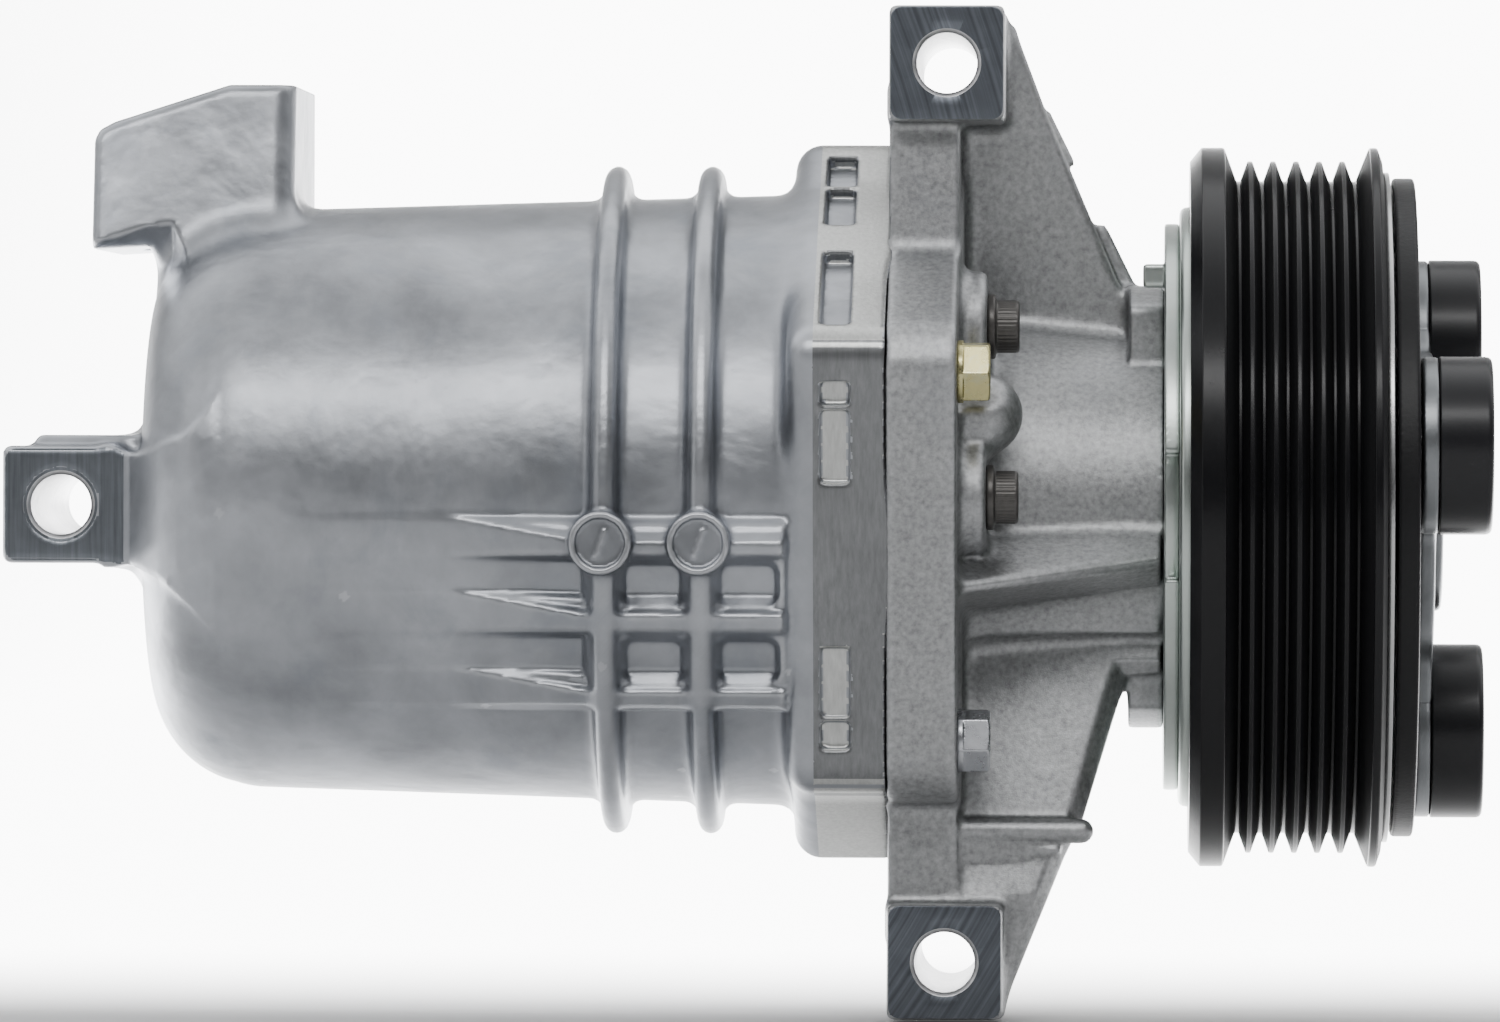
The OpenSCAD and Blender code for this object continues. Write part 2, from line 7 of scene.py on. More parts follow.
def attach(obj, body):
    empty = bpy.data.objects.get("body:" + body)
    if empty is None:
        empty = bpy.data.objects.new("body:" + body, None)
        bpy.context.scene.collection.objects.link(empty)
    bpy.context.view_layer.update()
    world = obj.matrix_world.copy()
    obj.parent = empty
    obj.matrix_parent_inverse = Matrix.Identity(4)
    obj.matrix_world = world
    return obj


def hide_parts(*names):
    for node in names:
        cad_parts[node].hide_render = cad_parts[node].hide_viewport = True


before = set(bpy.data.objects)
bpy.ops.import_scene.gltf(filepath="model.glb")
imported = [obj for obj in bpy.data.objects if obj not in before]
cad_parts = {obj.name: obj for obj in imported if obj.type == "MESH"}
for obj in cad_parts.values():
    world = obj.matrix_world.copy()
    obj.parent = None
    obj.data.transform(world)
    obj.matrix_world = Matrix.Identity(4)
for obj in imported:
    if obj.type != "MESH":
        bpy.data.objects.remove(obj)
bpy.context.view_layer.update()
MM = 0.001

# Shapes are in millimetres, with X along the shaft, and angles in degrees about the shaft.
# The stage, the lights and the camera are in metres.
# Places that several pieces share: radius and angles of bolts and cups, X and Z of the lugs
BOLT_CIRCLE, BOLT_ANGLES = 48.5, [25 + 72 * k for k in range(5)]
PUMP_CIRCLE, PUMP_ANGLES = 36.4, [2.4, 49.2, 182.4, 229.2]
CUP_CIRCLE, CUP_ANGLES = 35.9, [15.4, 135.4, 255.4]
UPPER_LUG, LOWER_LUG, REAR_LUG = (-53.5, 67.5), (-53.5, -69.2), (-188.6, 0.0)
LUG_BORE_R = 4.6
# X of the front head's outer face, which the bolt heads sit on, and of its joint to the shell
HEAD_FACE, HEAD_JOINT = -51.6, -62.3
# Nearest face of the armature plate to the pulley
ARMATURE_X = 14.8
# Grid steps of the distance fields: castings, pressed plates, bolt heads
CAST_STEP = 0.5
PLATE_STEP = 0.34
BOLT_STEP = 0.16
# Height of the floor in metres, just under the lowest lug
FLOOR_Z = -0.0786

# ---------------------------------------------------------------- node helpers


class Tree:
    """A short way to wire shader nodes."""

    def __init__(self, tree):
        self.t = tree
        for n in list(tree.nodes):
            tree.nodes.remove(n)

    def n(self, kind, ins=None, **props):
        node = self.t.nodes.new(kind)
        for k, v in props.items():
            setattr(node, k, v)
        for k, v in (ins or {}).items():
            sock = node.inputs[k]
            if hasattr(v, "is_output"):
                self.t.links.new(v, sock)
            else:
                sock.default_value = v
        return node

    def link(self, source, target):
        self.t.links.new(source, target)

    def math(self, op, a, b=0.0, clamp=False):
        return self.n("ShaderNodeMath", {0: a, 1: b}, operation=op, use_clamp=clamp).outputs[0]

    def mix(self, f, a, b):
        # A colour Mix node has its A and B on sockets 6 and 7, and its result on output 2
        return self.n("ShaderNodeMix", {0: f, 6: a, 7: b}, data_type="RGBA").outputs[2]

    def fit(self, v, a, b, c, d):
        return self.n("ShaderNodeMapRange", {0: v, 1: a, 2: b, 3: c, 4: d}).outputs[0]

    def ease(self, v, a, b, c, d):
        ins = {0: v, 1: a, 2: b, 3: c, 4: d}
        return self.n("ShaderNodeMapRange", ins, interpolation_type="SMOOTHSTEP").outputs[0]

    def noise(self, vec, scale, detail=4.0, rough=0.55):
        ins = {"Vector": vec, "Scale": scale, "Detail": detail, "Roughness": rough}
        return self.n("ShaderNodeTexNoise", ins).outputs[0]

    def stretch(self, vec, by):
        return self.n("ShaderNodeMapping", {0: vec, 3: by}).outputs[0]


def rgb(c, k=1.0):
    return (c[0] * k, c[1] * k, c[2] * k, 1.0)


MATS = {}


def metal(name, base, spread=0.15, rough=0.4, rvar=0.12, mottle=22.0, grain=900.0, grit=0.1,
          depth=0.05, metallic=1.0, streak=None, streak_k=0.2, arcs=None, stain=None, wear_and_crease_shade=0.0,
          coat=0.0, turned=0.0, wave=0.0):
    """A metal or plastic surface: mottling, grain, tool marks, stains, worn light edges and painted
    shade in creases.

    mottle, grain, streak and turned are noise scales per metre, and arcs is the centre in metres of
    circular tool marks. grit and spread are the strengths of grain and mottling, and a stain's last
    number is its own strength. depth and wave are bump heights in millimetres.
    """
    m = bpy.data.materials.new(name)
    m.use_nodes = True
    t = Tree(m.node_tree)
    out = t.n("ShaderNodeOutputMaterial")
    p = t.n("ShaderNodeBsdfPrincipled")
    t.link(p.outputs[0], out.inputs[0])
    pos = t.n("ShaderNodeTexCoord").outputs["Object"]
    warp = t.n("ShaderNodeTexNoise", {"Vector": pos, "Scale": mottle * 0.6,
                                      "Detail": 3.0}).outputs["Color"]
    bent = t.n("ShaderNodeMix", data_type="VECTOR", factor_mode="UNIFORM")
    bent.inputs[0].default_value = 0.03
    t.link(pos, bent.inputs[4])
    t.link(warp, bent.inputs[5])
    flow = t.noise(bent.outputs[1], mottle, 7.0, 0.6)
    fine = t.noise(pos, grain, 3.0, 0.6)
    mid = t.noise(pos, grain * 0.22, 4.0, 0.6)
    tone = t.fit(flow, 0.3, 0.7, 1.0 - spread, 1.0 + spread * 0.6)
    tone = t.math("MULTIPLY", tone, t.fit(mid, 0.25, 0.75, 1.0 - grit, 1.0 + grit))
    height = t.math("ADD", t.math("MULTIPLY", fine, 0.6), t.math("MULTIPLY", mid, 0.8))
    marks = None
    if streak:
        marks = t.noise(t.stretch(pos, streak), 1.0, 3.0, 0.7)
    if arcs:
        d = t.n("ShaderNodeVectorMath", {0: pos, 1: arcs}, operation="DISTANCE").outputs["Value"]
        ins = {"W": t.math("MULTIPLY", d, 1500.0), "Scale": 1.0, "Detail": 2.0}
        marks = t.n("ShaderNodeTexNoise", ins, noise_dimensions="1D").outputs[0]
    if turned:
        sx = t.n("ShaderNodeSeparateXYZ", {0: pos})
        r = t.math("SQRT", t.math("ADD", t.math("MULTIPLY", sx.outputs[1], sx.outputs[1]),
                                  t.math("MULTIPLY", sx.outputs[2], sx.outputs[2])))
        ins = {0: t.math("MULTIPLY", sx.outputs[0], turned), 1: t.math("MULTIPLY", r, turned)}
        rings = t.n("ShaderNodeCombineXYZ", ins)
        marks = t.noise(rings.outputs[0], 1.0, 3.0, 0.7)
    if marks is not None:
        tone = t.math("MULTIPLY", tone, t.fit(marks, 0.3, 0.7, 1.0 - streak_k, 1.0 + streak_k))
        height = t.math("ADD", height, t.math("MULTIPLY", marks, 1.6))
    col = t.n("ShaderNodeVectorMath", {0: rgb(base)[:3], 3: tone}, operation="SCALE").outputs[0]
    if stain:
        patch = t.fit(t.noise(bent.outputs[1], mottle * 1.7, 5.0, 0.65), 0.52, 0.72, 0.0, stain[3])
        col = t.mix(patch, col, rgb(stain))
    geo = t.n("ShaderNodeNewGeometry").outputs["Pointiness"]
    # Lighter worn edges where the surface is convex, and painted shade that darkens concave creases
    # toward a third of the base colour
    if wear_and_crease_shade:
        edge = t.fit(geo, 0.5, 0.56, 0.0, wear_and_crease_shade)
        col = t.mix(edge, col, rgb((0.75, 0.76, 0.78)))
        low = t.fit(geo, 0.44, 0.5, wear_and_crease_shade * 0.6, 0.0)
        col = t.mix(low, col, rgb(base, 0.35))
    t.link(col, p.inputs["Base Color"])
    p.inputs["Metallic"].default_value = metallic
    change = t.math("MULTIPLY", t.math("ADD", flow, mid), rvar / 2)
    t.link(t.math("ADD", rough - rvar / 2, change, clamp=True), p.inputs["Roughness"])
    if metallic == 0.0:
        p.inputs["Specular IOR Level"].default_value = 0.3
    if coat:
        p.inputs["Coat Weight"].default_value = coat
        p.inputs["Coat Roughness"].default_value = 0.25
    b = t.n("ShaderNodeBump", {"Strength": 1.0, "Distance": depth * MM, "Height": height})
    if wave:
        swell = t.noise(bent.outputs[1], 75.0, 3.0, 0.5)
        w = t.n("ShaderNodeBump", {"Strength": 1.0, "Distance": wave * MM, "Height": swell})
        t.link(w.outputs[0], b.inputs["Normal"])
    t.link(b.outputs[0], p.inputs["Normal"])
    MATS[name] = m


metal("cast_shell", (0.43, 0.445, 0.475), spread=0.44, rough=0.38, rvar=0.30, mottle=30, grain=700,
      grit=0.07, depth=0.04, stain=(0.27, 0.29, 0.325, 0.75), wear_and_crease_shade=0.35, wave=0.45)
metal("cast_head", (0.41, 0.415, 0.42), spread=0.13, rough=0.46, rvar=0.16, mottle=30, grain=5200,
      grit=0.32, depth=0.045, stain=(0.33, 0.34, 0.36, 0.35), wear_and_crease_shade=0.30, wave=0.35)
metal("brushed_flange", (0.24, 0.245, 0.25), spread=0.16, rough=0.36, rvar=0.16, mottle=34,
      grain=900, grit=0.05, depth=0.03, streak=(1500, 1500, 25), streak_k=0.14)
# A lighter copy of brushed_flange: painted light on the flange's tilted faces and a painted
# reflection on its pocket floors
metal("brushed_painted_light", (0.58, 0.585, 0.57), spread=0.10, rough=0.36, rvar=0.16, mottle=34,
      grain=900, grit=0.05, depth=0.03, streak=(1500, 1500, 25), streak_k=0.12)
metal("flycut", (0.175, 0.19, 0.215), spread=0.10, rough=0.36, rvar=0.10, mottle=40, grain=1500,
      grit=0.05, depth=0.02, arcs=(-0.20, 0.0, 0.02), streak_k=0.22)
metal("milled_rear", (0.19, 0.205, 0.225), spread=0.14, rough=0.40, rvar=0.12, mottle=40,
      grain=1500, grit=0.06, depth=0.02, streak=(1100, 40, 40), streak_k=0.22)
metal("bore_cut", (0.75, 0.75, 0.76), spread=0.2, rough=0.34, rvar=0.2, mottle=120, grain=900,
      grit=0.2, depth=0.05, stain=(0.4, 0.42, 0.45, 0.8))
metal("zinc_yellow", (0.57, 0.62, 0.585), spread=0.14, rough=0.30, rvar=0.16, mottle=50, grain=1500,
      grit=0.05, depth=0.012, stain=(0.50, 0.60, 0.56, 0.5))
metal("zinc_bolt", (0.66, 0.60, 0.30), spread=0.12, rough=0.28, rvar=0.14, mottle=160, grain=2600,
      grit=0.06, depth=0.012, stain=(0.55, 0.62, 0.55, 0.5))
metal("zinc_silver", (0.62, 0.63, 0.66), spread=0.12, rough=0.28, rvar=0.14, mottle=160, grain=2600,
      grit=0.06, depth=0.012)
metal("black_pulley", (0.006, 0.006, 0.007), spread=0.12, rough=0.26, rvar=0.10, mottle=40,
      grain=2200, grit=0.04, depth=0.010, metallic=0.0, turned=2600.0, streak_k=0.10)
metal("black_groove", (0.006, 0.006, 0.007), spread=0.12, rough=0.54, rvar=0.10, mottle=40,
      grain=2200, grit=0.04, depth=0.010, metallic=0.0)
metal("black_armature", (0.007, 0.007, 0.008), spread=0.15, rough=0.40, rvar=0.14, mottle=60,
      grain=1600, grit=0.10, depth=0.05, metallic=0.0)
metal("black_cup", (0.010, 0.010, 0.012), spread=0.10, rough=0.34, rvar=0.10, mottle=60, grain=2400,
      grit=0.05, depth=0.015, metallic=0.0, coat=0.2)
metal("black_bolt", (0.10, 0.095, 0.09), spread=0.2, rough=0.36, rvar=0.2, mottle=180, grain=3000,
      grit=0.1, depth=0.02, metallic=0.6)
metal("bare_steel", (0.60, 0.60, 0.60), spread=0.08, rough=0.26, rvar=0.10, mottle=60, grain=2000,
      grit=0.04, depth=0.01, turned=5000.0, streak_k=0.14)
metal("hub_steel", (0.25, 0.26, 0.27), spread=0.12, rough=0.36, rvar=0.14, mottle=80, grain=1800,
      grit=0.06, depth=0.02)
metal("pump_alloy", (0.55, 0.56, 0.57), spread=0.10, rough=0.34, rvar=0.1, mottle=60, grain=1500,
      grit=0.05, depth=0.02, turned=3000.0, streak_k=0.10)
metal("bearing_steel", (0.70, 0.70, 0.72), spread=0.04, rough=0.16, rvar=0.06, mottle=60,
      grain=2500, grit=0.02, depth=0.004)
metal("brass", (0.70, 0.50, 0.22), spread=0.10, rough=0.28, rvar=0.12, mottle=120, grain=2400,
      grit=0.05, depth=0.01)
metal("rubber", (0.016, 0.016, 0.016), spread=0.2, rough=0.72, rvar=0.1, mottle=120, grain=2400,
      grit=0.1, depth=0.03, metallic=0.0)
metal("winding", (0.30, 0.07, 0.025), spread=0.2, rough=0.45, rvar=0.1, mottle=120, grain=900,
      grit=0.1, depth=0.05, metallic=0.0, turned=1800.0, streak_k=0.3)
metal("cage_plastic", (0.62, 0.52, 0.32), spread=0.08, rough=0.5, rvar=0.1, mottle=120, grain=2400,
      grit=0.05, depth=0.01, metallic=0.0)

# ---------------------------------------------------------------- mesh helpers


def piece(name, verts, faces, mats, body, nodes, index=None, normals=False):
    """Makes one smooth-shaded mesh from millimetre points and puts it on its body.

    nodes are the CAD nodes it replaces, and index gives each face its place in mats.
    """
    me = bpy.data.meshes.new(name)
    v = (np.asarray(verts, np.float64) * MM).astype(np.float32)
    me.from_pydata(v.tolist(), [], faces.tolist() if hasattr(faces, "tolist") else faces)
    for m in mats:
        me.materials.append(MATS[m])
    me.polygons.foreach_set("use_smooth", [True] * len(me.polygons))
    if index is not None:
        me.polygons.foreach_set("material_index", np.asarray(index, np.int32).tolist())
    me.update()
    o = bpy.data.objects.new(name, me)
    bpy.context.scene.collection.objects.link(o)
    if normals:
        w = o.modifiers.new("even", "WEIGHTED_NORMAL")
        w.weight = 100
    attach(o, body)
    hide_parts(*nodes)


def rounded(points, radii):
    """A closed outline with an arc at each corner, cut short where two corners are close."""
    out = []
    n = len(points)
    for i in range(n):
        r = radii[i]
        a, b, c = (np.array(points[(i + k) % n], float) for k in (-1, 0, 1))
        u, w = a - b, c - b
        lu, lw = np.linalg.norm(u), np.linalg.norm(w)
        u, w = u / lu, w / lw
        half = math.acos(max(-1.0, min(1.0, float(u @ w)))) / 2
        if r <= 0 or half > 1.5:
            out.append(tuple(b))
            continue
        cut = min(r / math.tan(half), lu * 0.45, lw * 0.45)
        p, q = b + u * cut, b + w * cut
        steps = 4
        for k in range(steps + 1):
            s = k / steps
            out.append(tuple((1 - s) ** 2 * p + 2 * s * (1 - s) * b + s ** 2 * q))
    return out


def lathe(outline, n):
    """Turns a closed [x, r] outline about the shaft."""
    pts = np.array(outline, float)
    m = len(pts)
    a = np.radians(np.arange(n) * 360.0 / n)
    verts = np.stack([np.tile(pts[:, 0], n), -np.repeat(np.cos(a), m) * np.tile(pts[:, 1], n),
                      np.repeat(np.sin(a), m) * np.tile(pts[:, 1], n)], 1)
    i = np.arange(n)[:, None] * m
    j = ((np.arange(n) + 1) % n)[:, None] * m
    k = np.arange(m)[None, :]
    k2 = (k + 1) % m
    faces = np.stack([i + k, j + k, j + k2, i + k2], 2).reshape(-1, 4)
    return verts, faces


def oriented(verts, faces):
    """Faces turned so that the volume is positive."""
    v = verts[faces]
    vol = np.einsum("ij,ij->i", v[:, 0], np.cross(v[:, 1], v[:, 2])).sum()
    vol += np.einsum("ij,ij->i", v[:, 0], np.cross(v[:, 2], v[:, 3])).sum()
    return faces if vol > 0 else faces[:, ::-1]


def turn_about_shaft(verts, deg, r):
    """Moves a piece drawn on the shaft to radius r at an angle about it."""
    v = np.array(verts, float)
    v[:, 1] -= r
    a = math.radians(deg)
    c, s = math.cos(a), math.sin(a)
    y, z = v[:, 1].copy(), v[:, 2].copy()
    v[:, 1] = y * c + z * s
    v[:, 2] = -y * s + z * c
    return v


def joined(parts):
    """Several (points, faces) pairs as one."""
    vs, fs, base = [], [], 0
    for v, f in parts:
        vs.append(v)
        fs.append(np.asarray(f) + base)
        base += len(v)
    return np.vstack(vs), np.vstack(fs)


# ---------------------------------------------------------------- distance fields


def grid(lo, hi, step):
    """The x, y and z of a box of points, each along its own axis of an array."""
    ax = [np.arange(lo[k], hi[k] + step, step, dtype=np.float32) for k in range(3)]
    return ax[0][:, None, None], ax[1][None, :, None], ax[2][None, None, :]


def smin(a, b, k):
    """The union of two shapes, with a fillet about k wide where they meet."""
    h = np.clip(0.5 + 0.5 * (b - a) / k, 0, 1)
    return b + (a - b) * h - k * h * (1 - h)


def smax(a, b, k):
    """The intersection of two shapes, with its edge rounded by about k."""
    return -smin(-a, -b, k)


def rbox(x, y, z, lo, hi, r):
    """A box from lo to hi with edges of radius r."""
    q = []
    for v, a, b in ((x, lo[0], hi[0]), (y, lo[1], hi[1]), (z, lo[2], hi[2])):
        q.append(np.abs(v - (a + b) / 2) - (b - a) / 2 + r)
    out = np.sqrt(np.maximum(q[0], 0) ** 2 + np.maximum(q[1], 0) ** 2 + np.maximum(q[2], 0) ** 2)
    return out + np.minimum(np.maximum(np.maximum(q[0], q[1]), q[2]), 0) - r


def corner(a, b, r):
    """Two slabs meeting in a rounded edge of radius r."""
    u, v = a + r, b + r
    outside = np.sqrt(np.maximum(u, 0) ** 2 + np.maximum(v, 0) ** 2)
    return np.minimum(np.maximum(u, v), 0) + outside - r


def poly(u, v, pts):
    """Distance to a closed polygon in the plane of u and v, negative inside."""
    shape = np.broadcast(u, v).shape
    d = np.full(shape, 1e9, np.float32)
    inside = np.zeros(shape, bool)
    n = len(pts)
    for i in range(n):
        ax, ay = pts[i]
        bx, by = pts[(i + 1) % n]
        ex, ey = bx - ax, by - ay
        wx, wy = u - ax, v - ay
        h = np.clip((wx * ex + wy * ey) / (ex * ex + ey * ey), 0, 1)
        d = np.minimum(d, (wx - ex * h) ** 2 + (wy - ey * h) ** 2)
        if ey != 0:
            inside ^= ((ay > v) != (by > v)) & (u < ex * (v - ay) / ey + ax)
    d = np.sqrt(d)
    return np.where(inside, -d, d)


def surface(f, lo, step):
    """Surface nets: the zero level of f as quads, with its points in millimetres."""
    s = f < 0
    shape = np.array(f.shape)
    corners = [(i, j, k) for i in (0, 1) for j in (0, 1) for k in (0, 1)]
    count = np.zeros(shape - 1, np.int8)
    for i, j, k in corners:
        count += s[i:shape[0] - 1 + i, j:shape[1] - 1 + j, k:shape[2] - 1 + k]
    mixed = (count > 0) & (count < 8)
    ids = np.argwhere(mixed)
    index = np.full(mixed.shape, -1, np.int64)
    index[mixed] = np.arange(len(ids))
    acc = np.zeros((len(ids), 3))
    num = np.zeros(len(ids))
    val = {c: f[ids[:, 0] + c[0], ids[:, 1] + c[1], ids[:, 2] + c[2]] for c in corners}
    for a in corners:
        for axis in range(3):
            if a[axis]:
                continue
            b = tuple(a[k] + (k == axis) for k in range(3))
            fa, fb = val[a], val[b]
            hit = (fa < 0) != (fb < 0)
            t = np.where(hit, fa / np.where(hit, fa - fb, 1), 0)
            p = np.tile(np.array(a, float), (len(ids), 1))
            p[:, axis] += t
            acc += p * hit[:, None]
            num += hit
    pos = np.array(lo) + (ids + acc / num[:, None]) * step
    quads = []
    for axis in range(3):
        o1, o2 = [k for k in range(3) if k != axis]
        lo_s = [slice(None)] * 3
        hi_s = [slice(None)] * 3
        lo_s[axis], hi_s[axis] = slice(0, -1), slice(1, None)
        change = s[tuple(lo_s)] != s[tuple(hi_s)]
        at = np.argwhere(change)
        for o in (o1, o2):
            at = at[(at[:, o] > 0) & (at[:, o] < shape[o] - 1)]
        ring = []
        for d1, d2 in ((1, 1), (0, 1), (0, 0), (1, 0)):
            c = at.copy()
            c[:, o1] -= d1
            c[:, o2] -= d2
            ring.append(index[c[:, 0], c[:, 1], c[:, 2]])
        q = np.stack(ring, 1)
        inside = s[at[:, 0], at[:, 1], at[:, 2]]
        flip = inside if axis != 1 else ~inside
        q = np.where(flip[:, None], q, q[:, ::-1])
        quads.append(q)
    return pos, oriented(pos, np.vstack(quads))


def around(y, z, deg, radius):
    """Distance from an axis parallel to the shaft, at this angle and radius about it."""
    a = math.radians(deg)
    return np.sqrt((y + radius * math.cos(a)) ** 2 + (z - radius * math.sin(a)) ** 2)


def normals_of(v, f):
    """The normal and the centre of each face."""
    a = v[f]
    n = np.cross(a[:, 2] - a[:, 0], a[:, 3] - a[:, 1])
    return n / np.maximum(np.linalg.norm(n, axis=1), 1e-9)[:, None], a.mean(1)


# ---------------------------------------------------------------- rear shell


def five_sided(y, z, flat, corner_r):
    """A pentagon with its flats between the bolts and its corners cut to a circle."""
    d = np.sqrt(y * y + z * z) - np.where(y < -18, 57.7, corner_r)
    for a in BOLT_ANGLES:
        b = math.radians(a + 36)
        d = smax(d, -y * math.cos(b) + z * math.sin(b) - flat, 1.2)
    return d


def ease(t):
    """A smooth step from 0 to 1."""
    t = np.clip(t, 0, 1)
    return t * t * (3 - 2 * t)


def relief(x, z):
    """Height of the cast lattice on the barrel: ramps at the rear, bars and pockets in front."""
    t = np.clip((x + 128.6) / 21.0, 0, 1)
    fins = np.zeros(np.broadcast(x, z).shape, np.float32)
    for foot, crest, low in ((-1.4, -5.6, -8.4), (-12.7, -16.8, -19.9), (-24.4, -28.6, -31.0)):
        k = (foot - z) / ((foot - crest) * np.maximum(t, 0.06))
        split = 0.85 * ease((t - 0.45) / 0.3)
        stair = 0.5 * ease(k / 0.44) + 0.5 * ease((k - 0.54) / 0.44)
        ramp = (1 - split) * np.clip(k, 0, 1) + split * stair
        fins = np.maximum(fins, ramp * ease((z - low) / 1.2))
    fins = fins * (0.04 + 0.96 * t)
    grid_on = ease((x + 108.6) / 1.6)
    fins = np.maximum(fins, 0.62 * grid_on * ease((z + 31.0) / 1.2) * ease((-2.6 - z) / 1.6))
    for foot, low in ((-4.0, -7.5), (-15.5, -19.3), (-27.1, -31.0)):
        bar = 0.62 + 0.38 * np.clip((foot - z) / 1.7, 0, 1) * ease((z - low) / 0.9)
        fins = np.maximum(fins, grid_on * bar * (z < foot) * (z > low))
    fins = fins * ease((-76.4 - x) / 1.6)
    # Four pockets with rounded corners
    sink = np.zeros_like(fins)
    for xc, hx in ((-97.4, 5.4), (-83.1, 5.3)):
        for zc, hz in ((-11.5, 3.9), (-23.1, 3.9)):
            q = corner(np.abs(x - xc) - hx, np.abs(z - zc) - hz, 2.6)
            floor = np.clip((z - zc + hz) / 2.2, 0, 1)
            sink = np.maximum(sink, np.minimum(ease(-q / 1.5), floor))
    return 3.5 * fins - 2.0 * sink


def lug_hole(q, y, y0, y1):
    """A bore along y with chamfered ends, a little wider than the lining that goes in it."""
    return np.minimum(q - LUG_BORE_R - 0.2, np.minimum(q + y - y0 - 5.6, q - y + y1 - 5.6))


